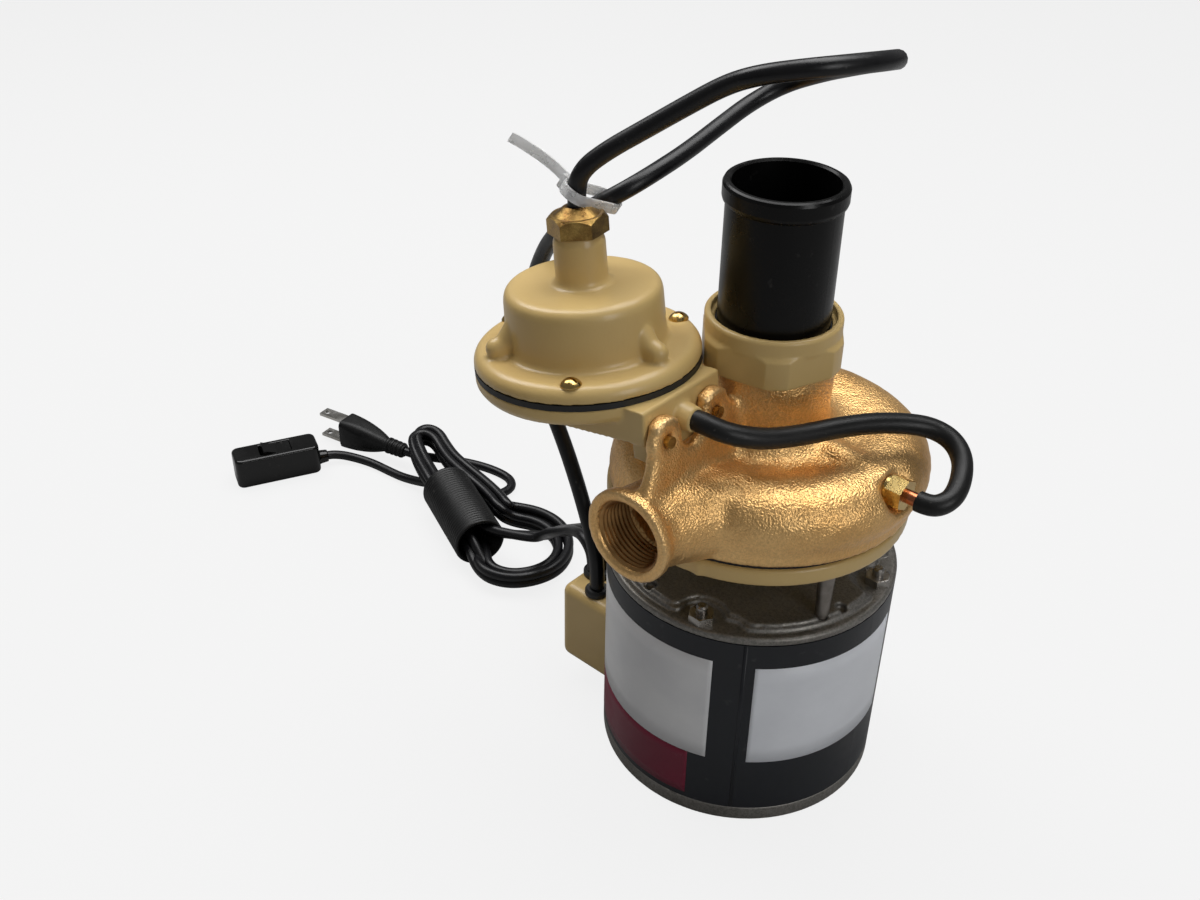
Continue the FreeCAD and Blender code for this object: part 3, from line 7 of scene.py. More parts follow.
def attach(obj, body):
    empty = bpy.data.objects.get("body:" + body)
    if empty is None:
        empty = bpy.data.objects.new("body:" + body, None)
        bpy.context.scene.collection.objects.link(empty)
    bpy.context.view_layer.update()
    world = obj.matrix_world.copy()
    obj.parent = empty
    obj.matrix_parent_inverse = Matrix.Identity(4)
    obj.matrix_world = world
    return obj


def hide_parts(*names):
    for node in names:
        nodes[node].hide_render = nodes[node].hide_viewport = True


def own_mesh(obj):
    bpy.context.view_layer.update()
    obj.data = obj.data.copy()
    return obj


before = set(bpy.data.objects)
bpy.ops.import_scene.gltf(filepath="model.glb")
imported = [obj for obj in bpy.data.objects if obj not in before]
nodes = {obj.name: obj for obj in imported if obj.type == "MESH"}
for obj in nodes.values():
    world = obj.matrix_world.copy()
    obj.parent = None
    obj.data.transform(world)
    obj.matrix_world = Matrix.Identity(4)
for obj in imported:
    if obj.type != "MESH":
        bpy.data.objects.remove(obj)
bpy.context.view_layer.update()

scene = bpy.context.scene

# Camera
# It stands in front, to the right and above the pump, and looks down at it.
camera_place = Vector((0.21201, -0.32719, 0.38736))
camera_right = Vector((0.74394, 0.66810, 0.01386))
camera_up = Vector((-0.37801, 0.40365, 0.83317))
camera_back = Vector((0.55105, -0.62507, 0.55284))
camera = bpy.data.objects.new("camera", bpy.data.cameras.new("camera"))
scene.collection.objects.link(camera)
turn = Matrix((camera_right, camera_up, camera_back)).transposed()
camera.matrix_world = Matrix.Translation(camera_place) @ turn.to_4x4()
camera.data.sensor_width = 36.0
camera.data.lens = 38.82
camera.data.clip_start = 0.01
camera.data.clip_end = 20.0
scene.camera = camera
scene.view_settings.view_transform = "Standard"


# Lamps and floor
# Three soft panels: the main one overhead, a weaker one above on the left and a weak, lower one
# on the right. The floor is plain. Only camera rays see its glow, and only those and rays
# through clear pieces see the sky at full strength.
lamp_target = Vector((-0.05, 0.0, 0.12))
sky_light = 0.16
paper_grey = 0.36
floor_glow_share = 0.84
floor_half_width = 6.0


def panel(name, place, size, watts):
    """A rectangular lamp that faces the pump."""
    lamp = bpy.data.lights.new(name, "AREA")
    lamp.shape = "RECTANGLE"
    lamp.size = size[0]
    lamp.size_y = size[1]
    lamp.energy = watts
    thing = bpy.data.objects.new(name, lamp)
    scene.collection.objects.link(thing)
    thing.location = place
    thing.rotation_euler = (lamp_target - Vector(place)).to_track_quat("-Z", "Y").to_euler()


panel("main_panel", (-0.06, 0.30, 1.16), (0.90, 0.75), 10.5)
panel("left_panel", (-0.70, 0.02, 0.95), (0.55, 0.60), 5.5)
panel("right_panel", (1.15, -0.25, 0.60), (0.40, 0.60), 3.4)


def put(tree, kind, **settings):
    """Add a node and set its properties and its unlinked sockets."""
    node = tree.nodes.new(kind)
    for name, value in settings.items():
        if hasattr(node, name):
            setattr(node, name, value)
        else:
            node.inputs[name.replace("_", " ")].default_value = value
    return node


world = bpy.data.worlds.new("studio")
scene.world = world
world.use_nodes = True
sky = world.node_tree
sky.nodes.clear()
rays = put(sky, "ShaderNodeLightPath")
seen = put(sky, "ShaderNodeMath", operation="MAXIMUM")
sky.links.new(rays.outputs["Is Camera Ray"], seen.inputs[0])
sky.links.new(rays.outputs["Is Transmission Ray"], seen.inputs[1])
strength = put(sky, "ShaderNodeMapRange", To_Min=sky_light, To_Max=1.0)
sky.links.new(seen.outputs[0], strength.inputs["Value"])
plain_sky = put(sky, "ShaderNodeBackground", Color=(1.0, 1.0, 1.0, 1.0))
sky.links.new(strength.outputs["Result"], plain_sky.inputs["Strength"])
sky_out = put(sky, "ShaderNodeOutputWorld")
sky.links.new(plain_sky.outputs[0], sky_out.inputs["Surface"])

floor_bm = bmesh.new()
bmesh.ops.create_grid(floor_bm, x_segments=2, y_segments=2, size=floor_half_width)
floor_mesh = bpy.data.meshes.new("floor")
floor_bm.to_mesh(floor_mesh)
floor_bm.free()
floor = bpy.data.objects.new("floor", floor_mesh)
scene.collection.objects.link(floor)
floor_finish = bpy.data.materials.new("floor")
floor_finish.use_nodes = True
tree = floor_finish.node_tree
tree.nodes.clear()
paper = put(tree, "ShaderNodeBsdfDiffuse", Color=(paper_grey, paper_grey, paper_grey, 1.0))
glow = put(tree, "ShaderNodeEmission", Strength=1.0)
both = put(tree, "ShaderNodeMixShader")
rays = put(tree, "ShaderNodeLightPath")
share = put(tree, "ShaderNodeMath", operation="MULTIPLY")
share.inputs[1].default_value = floor_glow_share
tree.links.new(rays.outputs["Is Camera Ray"], share.inputs[0])
tree.links.new(share.outputs[0], both.inputs["Fac"])
tree.links.new(paper.outputs[0], both.inputs[1])
tree.links.new(glow.outputs[0], both.inputs[2])
floor_out = put(tree, "ShaderNodeOutputMaterial")
tree.links.new(both.outputs[0], floor_out.inputs["Surface"])
floor_mesh.materials.append(floor_finish)


# Cord jackets
# Black extruded rubber and vinyl: nearly smooth, a little dull where it was handled,
# with faint specks of dust.
speck_ratio = 9.0
fine_grain_ratio = 3.2
fine_grain_share = 0.45
dust_colour = (0.55, 0.53, 0.50, 1.0)


def effect(name, inputs, outputs):
    """An empty shader node group with named sockets."""
    group = bpy.data.node_groups.new(name, "ShaderNodeTree")
    for socket, kind in inputs:
        group.interface.new_socket(socket, in_out="INPUT", socket_type="NodeSocket" + kind)
    for socket, kind in outputs:
        group.interface.new_socket(socket, in_out="OUTPUT", socket_type="NodeSocket" + kind)
    return group, group.nodes.new("NodeGroupInput"), group.nodes.new("NodeGroupOutput")


handling, entry, leave = effect("handling_marks", [("Vector", "Vector"), ("Size", "Float")],
                                [("Patches", "Float"), ("Specks", "Float")])
patches = put(handling, "ShaderNodeTexNoise", Detail=4.0, Roughness=0.6)
handling.links.new(entry.outputs["Vector"], patches.inputs["Vector"])
handling.links.new(entry.outputs["Size"], patches.inputs["Scale"])
spread = put(handling, "ShaderNodeMapRange", From_Min=0.35, From_Max=0.68)
handling.links.new(patches.outputs["Fac"], spread.inputs["Value"])
handling.links.new(spread.outputs["Result"], leave.inputs["Patches"])
finer = put(handling, "ShaderNodeMath", operation="MULTIPLY")
finer.inputs[1].default_value = speck_ratio
handling.links.new(entry.outputs["Size"], finer.inputs[0])
specks = put(handling, "ShaderNodeTexNoise", Detail=2.0)
handling.links.new(entry.outputs["Vector"], specks.inputs["Vector"])
handling.links.new(finer.outputs[0], specks.inputs["Scale"])
few = put(handling, "ShaderNodeMapRange", From_Min=0.68, From_Max=0.78)
handling.links.new(specks.outputs["Fac"], few.inputs["Value"])
handling.links.new(few.outputs["Result"], leave.inputs["Specks"])

grain, entry, leave = effect("surface_grain", [("Vector", "Vector"), ("Size", "Float")],
                             [("Height", "Float"), ("Pits", "Float")])
coarse = put(grain, "ShaderNodeTexNoise", Detail=3.0, Roughness=0.65)
fine = put(grain, "ShaderNodeTexNoise", Detail=2.0, Roughness=0.6)
finer = put(grain, "ShaderNodeMath", operation="MULTIPLY")
finer.inputs[1].default_value = fine_grain_ratio
blend = put(grain, "ShaderNodeMix")
blend.inputs[0].default_value = fine_grain_share
grain.links.new(entry.outputs["Vector"], coarse.inputs["Vector"])
grain.links.new(entry.outputs["Vector"], fine.inputs["Vector"])
grain.links.new(entry.outputs["Size"], coarse.inputs["Scale"])
grain.links.new(entry.outputs["Size"], finer.inputs[0])
grain.links.new(finer.outputs[0], fine.inputs["Scale"])
grain.links.new(coarse.outputs["Fac"], blend.inputs[2])
grain.links.new(fine.outputs["Fac"], blend.inputs[3])
grain.links.new(blend.outputs[0], leave.inputs["Height"])
pits = put(grain, "ShaderNodeMapRange", From_Min=0.42, From_Max=0.58)
grain.links.new(blend.outputs[0], pits.inputs["Value"])
grain.links.new(pits.outputs["Result"], leave.inputs["Pits"])


def finish(name, colour, dark, roughness, patch_size, grain_size, grain_depth, metallic=0.0,
           grain_tint=0.0, rough_spread=0.08, dust=0.0, coat=0.0, specular=0.5, edge_colour=None):
    """A material whose colour and shine vary in patches, with a grain of its own depth."""
    material = bpy.data.materials.new(name)
    material.use_nodes = True
    tree = material.node_tree
    shader = tree.nodes["Principled BSDF"]
    shader.inputs["Metallic"].default_value = metallic
    shader.inputs["Coat Weight"].default_value = coat
    shader.inputs["Coat Roughness"].default_value = 0.12
    shader.inputs["Specular IOR Level"].default_value = specular
    place = put(tree, "ShaderNodeTexCoord")
    marks = put(tree, "ShaderNodeGroup", node_tree=handling)
    marks.inputs["Size"].default_value = patch_size
    tree.links.new(place.outputs["Object"], marks.inputs["Vector"])
    rough = put(tree, "ShaderNodeGroup", node_tree=grain)
    rough.inputs["Size"].default_value = grain_size
    tree.links.new(place.outputs["Object"], rough.inputs["Vector"])
    body = put(tree, "ShaderNodeMix", data_type="RGBA")
    body.inputs[6].default_value = (*dark, 1.0)
    body.inputs[7].default_value = (*colour, 1.0)
    tree.links.new(marks.outputs["Patches"], body.inputs[0])
    paint = body.outputs[2]
    if grain_tint:
        tint = put(tree, "ShaderNodeMix", data_type="RGBA", blend_type="MULTIPLY")
        shade = put(tree, "ShaderNodeMapRange", To_Min=1.0 - grain_tint)
        tree.links.new(rough.outputs["Pits"], shade.inputs["Value"])
        grey = put(tree, "ShaderNodeCombineColor")
        for channel in ("Red", "Green", "Blue"):
            tree.links.new(shade.outputs["Result"], grey.inputs[channel])
        tint.inputs[0].default_value = 1.0
        tree.links.new(paint, tint.inputs[6])
        tree.links.new(grey.outputs[0], tint.inputs[7])
        paint = tint.outputs[2]
    # Sharp edges take a lighter colour. On the bronze casing this is partly rubbed wear and partly a
    # painted highlight on its crests.
    if edge_colour:
        edges = put(tree, "ShaderNodeNewGeometry")
        sharp = put(tree, "ShaderNodeMapRange", From_Min=0.52, From_Max=0.62)
        tree.links.new(edges.outputs["Pointiness"], sharp.inputs["Value"])
        edge_mix = put(tree, "ShaderNodeMix", data_type="RGBA")
        edge_mix.inputs[7].default_value = (*edge_colour, 1.0)
        tree.links.new(sharp.outputs["Result"], edge_mix.inputs[0])
        tree.links.new(paint, edge_mix.inputs[6])
        paint = edge_mix.outputs[2]
    if dust:
        dusty = put(tree, "ShaderNodeMix", data_type="RGBA")
        dusty.inputs[7].default_value = dust_colour
        share = put(tree, "ShaderNodeMath", operation="MULTIPLY")
        share.inputs[1].default_value = dust
        tree.links.new(marks.outputs["Specks"], share.inputs[0])
        tree.links.new(share.outputs[0], dusty.inputs[0])
        tree.links.new(paint, dusty.inputs[6])
        paint = dusty.outputs[2]
    tree.links.new(paint, shader.inputs["Base Color"])
    dull = put(tree, "ShaderNodeMapRange", To_Min=roughness - rough_spread, To_Max=roughness + rough_spread)
    tree.links.new(marks.outputs["Patches"], dull.inputs["Value"])
    tree.links.new(dull.outputs["Result"], shader.inputs["Roughness"])
    bump = put(tree, "ShaderNodeBump", Strength=1.0, Distance=grain_depth)
    tree.links.new(rough.outputs["Height"], bump.inputs["Height"])
    tree.links.new(bump.outputs["Normal"], shader.inputs["Normal"])
    return material


jacket_finish = finish("cord_jacket", (0.006, 0.006, 0.007), (0.003, 0.003, 0.004), 0.34,
                       patch_size=60.0, grain_size=1500.0, grain_depth=0.00005, dust=0.05, specular=0.35)
hose_finish = finish("hose_rubber", (0.007, 0.007, 0.007), (0.004, 0.004, 0.004), 0.42,
                     patch_size=45.0, grain_size=1100.0, grain_depth=0.00008, dust=0.07, specular=0.35)


# The two thin cords
# They leave the box side by side, go three times through the wrapped hank, and end in the
# plug and in the inline switch. Each is one piece; the hank is all of its spare length.
def cord_piece(name, route, radius, jacket):
    """A round cord along a smooth line that the route's points steer."""
    line = bpy.data.curves.new(name, "CURVE")
    line.dimensions = "3D"
    line.resolution_u = 10
    line.bevel_depth = radius
    line.bevel_resolution = 5
    line.use_fill_caps = True
    spline = line.splines.new("NURBS")
    spline.points.add(len(route) - 1)
    for point, place in zip(spline.points, route):
        point.co = (*place, 1.0)
    spline.order_u = 3
    spline.use_endpoint_u = True
    piece = bpy.data.objects.new(name, line)
    scene.collection.objects.link(piece)
    line.materials.append(jacket)
    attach(piece, "root")
    return piece


thin_radius = 0.0023
thin_gap = 0.0001
cords_apart = Vector((0.46, 0.89, 0.0)).normalized() * (thin_radius + thin_gap)
from_box = [Vector(p) for p in (
    (-0.0653, -0.0126, 0.0480),
    (-0.0653, -0.0126, 0.0555),
    (-0.0676, -0.0122, 0.0608),
    (-0.0744, -0.0096, 0.0622),
    (-0.0830, -0.0054, 0.0576),
    (-0.0928, -0.0006, 0.0494),
    (-0.1036, 0.0052, 0.0402),
    (-0.1136, 0.0108, 0.0314),
    (-0.1214, 0.0154, 0.0232),
    (-0.1275, 0.0150, 0.0185),
)]
hank_mouth = Vector((-0.1502, -0.0008, 0.0126))
hank_far = Vector((-0.1951, 0.0187, 0.0126))
hank_length = (hank_far - hank_mouth).length
hank_way = (hank_far - hank_mouth).normalized()
hank_side = Vector((hank_way.y, -hank_way.x, 0.0))


def in_hank(along, aside, up):
    """A point in the hank's own frame: along its sleeve, aside towards the back, and up."""
    return hank_mouth + hank_way * along + hank_side * aside + Vector((0.0, 0.0, up))


strand_circle = 0.0056
strand_turn = 12.0
strand_step = 0.0024
sleeve_stations = (0.004, 0.020, 0.036)
return_stations = ((0.036, 0.001), (0.020, 0.002))
return_aside = 0.0180
return_up = -0.0010
wide_loop = [Vector(p) for p in (
    (-0.1600, 0.0300, 0.0082),
    (-0.1480, 0.0365, 0.0078),
    (-0.1345, 0.0365, 0.0074),
    (-0.1230, 0.0290, 0.0070),
    (-0.1172, 0.0170, 0.0068),
    (-0.1190, 0.0045, 0.0068),
    (-0.1270, -0.0062, 0.0070),
    (-0.1390, -0.0098, 0.0080),
)]
wide_middle = Vector((-0.1390, 0.0140, 0.0))
wide_reach = 0.024
wide_drop = 0.0012
narrow_fold = [Vector(p) for p in (
    (-0.2040, 0.0175, 0.0136),
    (-0.2170, 0.0226, 0.0148),
    (-0.2274, 0.0276, 0.0168),
    (-0.2338, 0.0324, 0.0180),
    (-0.2336, 0.0388, 0.0182),
    (-0.2270, 0.0416, 0.0172),
    (-0.2160, 0.0374, 0.0150),
    (-0.2050, 0.0340, 0.0140),
)]


def hank_route(number):
    """One cord's way through the hank: in at the mouth, round both ends twice, out at the far end.
    Every strand has a slot of its own, in the sleeve and round the ends."""
    route = []
    for passage in range(3):
        strand = 2 * passage + number
        slot_angle = math.radians(60.0 * strand + strand_turn)
        aside = strand_circle * math.cos(slot_angle)
        up = strand_circle * math.sin(slot_angle)
        route += [in_hank(along, aside, up) for along in sleeve_stations]
        if passage == 2:
            break
        out = strand_step if strand in (1, 2) else -strand_step
        lift = strand_step if strand > 1 else -strand_step
        route += [p + Vector((-0.3 * out, out, lift)) for p in narrow_fold]
        route += [in_hank(along, return_aside + out + bow, return_up + lift)
                  for along, bow in return_stations]
        size = 1.0 + 1.2 * out / wide_reach
        rise = Vector((0.0, 0.0, lift - wide_drop * passage))
        route += [wide_middle + (p - wide_middle) * size + rise for p in wide_loop]
    return route


plug_end = [Vector(p) for p in (
    (-0.1866, 0.0216, 0.0080),
    (-0.1844, 0.0300, 0.0054),
    (-0.1826, 0.0376, 0.0036),
    (-0.1810, 0.0446, 0.0025),
    (-0.1816, 0.0514, 0.0025),
    (-0.1870, 0.0556, 0.0025),
    (-0.1950, 0.0562, 0.0025),
    (-0.2049, 0.0545, 0.0025),
    (-0.2151, 0.0509, 0.0025),
    (-0.2244, 0.0456, 0.0027),
    (-0.2290, 0.0398, 0.0046),
    (-0.2314, 0.0342, 0.0074),
    (-0.2347, 0.0305, 0.0090),
    (-0.2390, 0.0297, 0.0090),
)]
switch_end = [Vector(p) for p in (
    (-0.1980, 0.0199, 0.0104),
    (-0.2036, 0.0208, 0.0090),
    (-0.2124, 0.0204, 0.0062),
    (-0.2216, 0.0194, 0.0040),
    (-0.2304, 0.0184, 0.0027),
    (-0.2398, 0.0176, 0.0025),
    (-0.2485, 0.0169, 0.0025),
    (-0.2562, 0.0153, 0.0025),
    (-0.2652, 0.0108, 0.0036),
    (-0.2696, 0.0056, 0.0049),
    (-0.2708, 0.0030, 0.0050),
)]
plug_cord = cord_piece("plug_cord", [p + cords_apart for p in from_box] + hank_route(0) + plug_end,
                       thin_radius, jacket_finish)
switch_cord = cord_piece("switch_cord", [p - cords_apart for p in from_box] + hank_route(1) + switch_end,
                         thin_radius, jacket_finish)


# The hank's sleeve
# A ribbed rubber wrap holds the strands together; it is a short tube, open at both ends.
def add_piece(name, bm, material, smooth=True):
    """Make an object of a bmesh, give it its finish and let it ride on the root."""
    mesh = bpy.data.meshes.new(name)
    bm.normal_update()
    bm.to_mesh(mesh)
    bm.free()
    for face in mesh.polygons:
        face.use_smooth = smooth
    mesh.materials.append(material)
    piece = bpy.data.objects.new(name, mesh)
    scene.collection.objects.link(piece)
    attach(piece, "root")
    return piece


sleeve_radius = 0.0122
sleeve_wall = 0.0016
sleeve_lip = 0.0003
rib_pitch = 0.0018
rib_height = 0.00035
rib_count = int(hank_length / rib_pitch)
rib_form = ((0.15, 0.0), (0.35, 0.8), (0.5, 1.0), (0.65, 0.8), (0.85, 0.0))
sleeve_outline = [(sleeve_radius - sleeve_wall, 0.0), (sleeve_radius - sleeve_lip, 0.0)]
for rib in range(rib_count):
    for share, rise in rib_form:
        sleeve_outline.append((sleeve_radius + rib_height * (rise - 0.5), (rib + share) * rib_pitch))
sleeve_outline += [(sleeve_radius - sleeve_lip, hank_length), (sleeve_radius - sleeve_wall, hank_length)]
sleeve_bm = bmesh.new()
outline_verts = [sleeve_bm.verts.new((radius, 0.0, height)) for radius, height in sleeve_outline]
outline_edges = [sleeve_bm.edges.new(pair) for pair in zip(outline_verts, outline_verts[1:])]
outline_edges.append(sleeve_bm.edges.new((outline_verts[-1], outline_verts[0])))
bmesh.ops.spin(sleeve_bm, geom=outline_verts + outline_edges, cent=(0, 0, 0), axis=(0, 0, 1),
               angle=math.tau, steps=72, use_merge=True)
bmesh.ops.remove_doubles(sleeve_bm, verts=sleeve_bm.verts, dist=1e-7)
bmesh.ops.recalc_face_normals(sleeve_bm, faces=sleeve_bm.faces)
standing = Vector((0, 0, 1)).rotation_difference(hank_way).to_matrix().to_4x4()
bmesh.ops.transform(sleeve_bm, matrix=Matrix.Translation(hank_mouth) @ standing, verts=sleeve_bm.verts)
hank_sleeve = add_piece("hank_sleeve", sleeve_bm, hose_finish)


# The plug
# A moulded two-pin plug lying on its side, of dull black vinyl with two plated blades.
skin_frequency = 260.0
first_rounds = 2


def node_copy(node):
    """A merged copy of a CAD node's mesh."""
    bm = bmesh.new()
    bm.from_mesh(nodes[node].data)
    bmesh.ops.remove_doubles(bm, verts=bm.verts, dist=1e-6)
    return bm


def softened(bm, name, material, voxel, rounds, crisp=None, skin=0.0):
    """A closed form as it leaves the mould: its edges and inner corners are rounded, in more
    rounds where it isn't crisp, and its skin is uneven by a small height."""
    piece = add_piece(name, bm, material)
    mould = piece.modifiers.new("mould", "REMESH")
    mould.mode = "VOXEL"
    mould.voxel_size = voxel
    depsgraph = bpy.context.evaluated_depsgraph_get()
    made = bpy.data.meshes.new_from_object(piece.evaluated_get(depsgraph))
    piece.modifiers.clear()
    piece.data = made
    form = bmesh.new()
    form.from_mesh(made)
    even = dict(factor=0.5, use_axis_x=True, use_axis_y=True, use_axis_z=True)
    for _ in range(first_rounds):
        bmesh.ops.smooth_vert(form, verts=form.verts, **even)
    loose = [vert for vert in form.verts if crisp is None or not crisp(vert.co)]
    for _ in range(rounds):
        bmesh.ops.smooth_vert(form, verts=loose, **even)
    if skin:
        form.normal_update()
        for vert in loose:
            vert.co += vert.normal * skin * noise.noise(vert.co * skin_frequency)
    form.to_mesh(made)
    form.free()
    for face in made.polygons:
        face.use_smooth = True
    return piece


def cut_off(bm, place, way, **side):
    """Clear one side of a plane and close the cut."""
    bmesh.ops.bisect_plane(bm, geom=bm.verts[:] + bm.edges[:] + bm.faces[:], plane_co=place,
                           plane_no=way, **side)
    bmesh.ops.holes_fill(bm, edges=[e for e in bm.edges if e.is_boundary])


plug_tail = Vector((-0.2390, 0.0297, 0.0090))
plug_face = Vector((-0.2779, 0.0221, 0.0090))
plug_way = (plug_face - plug_tail).normalized()
body_margin = 0.00002
blade_margin = 0.00005
vinyl_finish = finish("black_vinyl", (0.006, 0.006, 0.006), (0.003, 0.003, 0.003), 0.45,
                      patch_size=70.0, grain_size=1600.0, grain_depth=0.00006, dust=0.04, specular=0.3)
plated_finish = finish("plated_blades", (0.66, 0.65, 0.62), (0.52, 0.50, 0.46), 0.24, metallic=1.0,
                       patch_size=140.0, grain_size=2200.0, grain_depth=0.00003)
body_bm = node_copy("plug")
cut_off(body_bm, plug_face - plug_way * body_margin, plug_way, clear_outer=True)
bmesh.ops.triangulate(body_bm, faces=body_bm.faces)
plug_body = softened(body_bm, "plug_body", vinyl_finish, voxel=0.00035, rounds=1)
blades_bm = node_copy("plug")
cut_off(blades_bm, plug_face + plug_way * blade_margin, plug_way, clear_inner=True)
plug_blades = add_piece("plug_blades", blades_bm, plated_finish, smooth=False)
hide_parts("plug")


# The inline switch
# A small glossy box of black plastic with a rocker; the cord goes in through its neck.
gloss_finish = finish("glossy_plastic", (0.004, 0.004, 0.004), (0.002, 0.002, 0.002), 0.18,
                      patch_size=60.0, grain_size=1800.0, grain_depth=0.00002, dust=0.04, specular=0.4)


def dress(material, *names):
    """Give CAD nodes their finish."""
    for name in names:
        slots = nodes[name].material_slots
        if not slots:
            nodes[name].data.materials.append(material)
        for one in slots:
            one.material = material


switch_body = softened(node_copy("rocker_box"), "switch_body", gloss_finish,
                       voxel=0.0004, rounds=3)
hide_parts("rocker_box")
dress(gloss_finish, "rocker")

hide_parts("plug_cord_near", "plug_cord_far", "cord_hank")
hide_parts("switch_cord_near", "switch_cord_far", "cord_hank")


# The switch's lead
# A thick round rubber cable from the brass gland, up in a bight that the tie closes,
# and down behind the pressure switch into the motor box.
lead_radius = 0.0030
lead_route = [Vector(p) for p in (
    (-0.04752, -0.04500, 0.21674),
    (-0.04897, -0.04500, 0.22986),
    (-0.04600, -0.04540, 0.23800),
    (-0.03940, -0.04100, 0.24480),
    (-0.02900, -0.03500, 0.25280),
    (-0.01820, -0.03040, 0.26100),
    (-0.00640, -0.02740, 0.26940),
    (0.00460, -0.02740, 0.27460),
    (0.01540, -0.02360, 0.27760),
    (0.02360, -0.01460, 0.27860),
    (0.02740, -0.00140, 0.27760),
    (0.02560, 0.01300, 0.27480),
    (0.01800, 0.02620, 0.27020),
    (0.00640, 0.03640, 0.26480),
    (-0.00740, 0.04320, 0.25880),
    (-0.02140, 0.04660, 0.25280),
    (-0.03300, 0.04320, 0.24740),
    (-0.03880, 0.03200, 0.24220),
    (-0.03960, 0.01640, 0.23780),
    (-0.03920, -0.00120, 0.23380),
    (-0.03980, -0.01660, 0.23080),
    (-0.04220, -0.02680, 0.22760),
    (-0.04780, -0.03140, 0.22320),
    (-0.05660, -0.03360, 0.21700),
    (-0.06660, -0.03320, 0.20800),
    (-0.07800, -0.02850, 0.19660),
    (-0.08840, -0.02470, 0.17860),
    (-0.09360, -0.02200, 0.15990),
    (-0.09460, -0.01820, 0.13980),
    (-0.08940, -0.01640, 0.12280),
    (-0.08080, -0.01660, 0.10780),
    (-0.07270, -0.01770, 0.09310),
    (-0.06560, -0.01900, 0.07880),
    (-0.05940, -0.02120, 0.06760),
    (-0.05740, -0.02200, 0.05800),
    (-0.05740, -0.02200, 0.04800),
)]
switch_lead = cord_piece("switch_lead_cable", lead_route, lead_radius, jacket_finish)
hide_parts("switch_lead")


# The tie
# A milky nylon strap round both passes of the lead, with its head on the left and a long tail.
tie_front = Vector((-0.0489, -0.0450, 0.2295))
tie_back = Vector((-0.0478, -0.0314, 0.2232))
tie_loop_radius = 0.0046
tie_half_width = 0.0018
tie_half_thickness = 0.00045
strap_edge = 0.0002
sharp_angle = 0.8
loop_steps = 48
tail_steps = 12
tail_length = 0.0210
tail_start = 0.0016
tail_curl = 0.0120
tail_bow = 0.0016
head_size = (0.0030, 0.0046, 0.0050)
head_gap = 0.0006
head_edge = 0.0005
tie_long = (tie_back - tie_front).normalized()
tie_across = Vector((0.80, 0.32, -0.50))
tie_across = (tie_across - tie_long * tie_across.dot(tie_long)).normalized()
tie_up = tie_across.cross(tie_long)
tie_finish = finish("milky_nylon", (0.95, 0.95, 0.95), (0.88, 0.88, 0.87), 0.30, patch_size=90.0,
                    grain_size=1500.0, grain_depth=0.00002)
tie_finish.node_tree.nodes["Principled BSDF"].inputs["Transmission Weight"].default_value = 0.6


def strap(name, path, outwards, closed):
    """A flat band along a path, as wide as the tie, with its flat side facing outwards."""
    bm = bmesh.new()
    rings = []
    for place, out in zip(path, outwards):
        corners = [place + out * tie_half_thickness * a + tie_up * tie_half_width * b
                   for a, b in ((1, 1), (1, -1), (-1, -1), (-1, 1))]
        rings.append([bm.verts.new(corner) for corner in corners])
    pairs = list(zip(rings, rings[1:]))
    if closed:
        pairs.append((rings[-1], rings[0]))
    else:
        bm.faces.new(rings[0])
        bm.faces.new(rings[-1])
    for first, second in pairs:
        for i in range(4):
            bm.faces.new((first[i], first[i - 1], second[i - 1], second[i]))
    bmesh.ops.recalc_face_normals(bm, faces=bm.faces)
    bmesh.ops.bevel(bm, geom=[e for e in bm.edges if e.calc_face_angle(0.0) > sharp_angle],
                    offset=strap_edge, offset_type="OFFSET", segments=2, profile=0.5, affect="EDGES",
                    material=-1)
    return add_piece(name, bm, tie_finish)


loop_path = []
loop_outwards = []
for step in range(loop_steps):
    angle = math.tau * (step + 0.5) / loop_steps
    out = tie_across * math.cos(angle) + tie_long * math.sin(angle)
    loop_path.append((tie_back if math.sin(angle) > 0 else tie_front) + out * tie_loop_radius)
    loop_outwards.append(out)
tie_loop = strap("tie_loop", loop_path, loop_outwards, True)
tail_root = tie_front - tie_across * (tie_loop_radius + head_gap)
tail_path = []
tail_outwards = []
for step in range(tail_steps + 1):
    t = step / tail_steps
    tail_path.append(tail_root + tie_long * (tail_start - tail_curl * t * t)
                     - tie_across * tail_length * t + tie_up * tail_bow * t * (1.0 - t))
    tail_outwards.append((tie_across * tail_length * t + tie_long).normalized())
tie_tail = strap("tie_tail", tail_path, tail_outwards, False)
head_bm = bmesh.new()
bmesh.ops.create_cube(head_bm, size=1.0)
head_turn = Matrix((tie_across, tie_long, tie_up)).transposed().to_4x4()
head_scale = Matrix.Diagonal((*head_size, 1.0))
bmesh.ops.transform(head_bm, matrix=Matrix.Translation(tail_root) @ head_turn @ head_scale,
                    verts=head_bm.verts)
bmesh.ops.bevel(head_bm, geom=head_bm.edges[:], offset=head_edge, offset_type="OFFSET", segments=3,
                profile=0.5, affect="EDGES", material=-1)
tie_head = add_piece("tie_head", head_bm, tie_finish)
for piece in (tie_loop, tie_tail, tie_head):
    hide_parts("zip_tie")


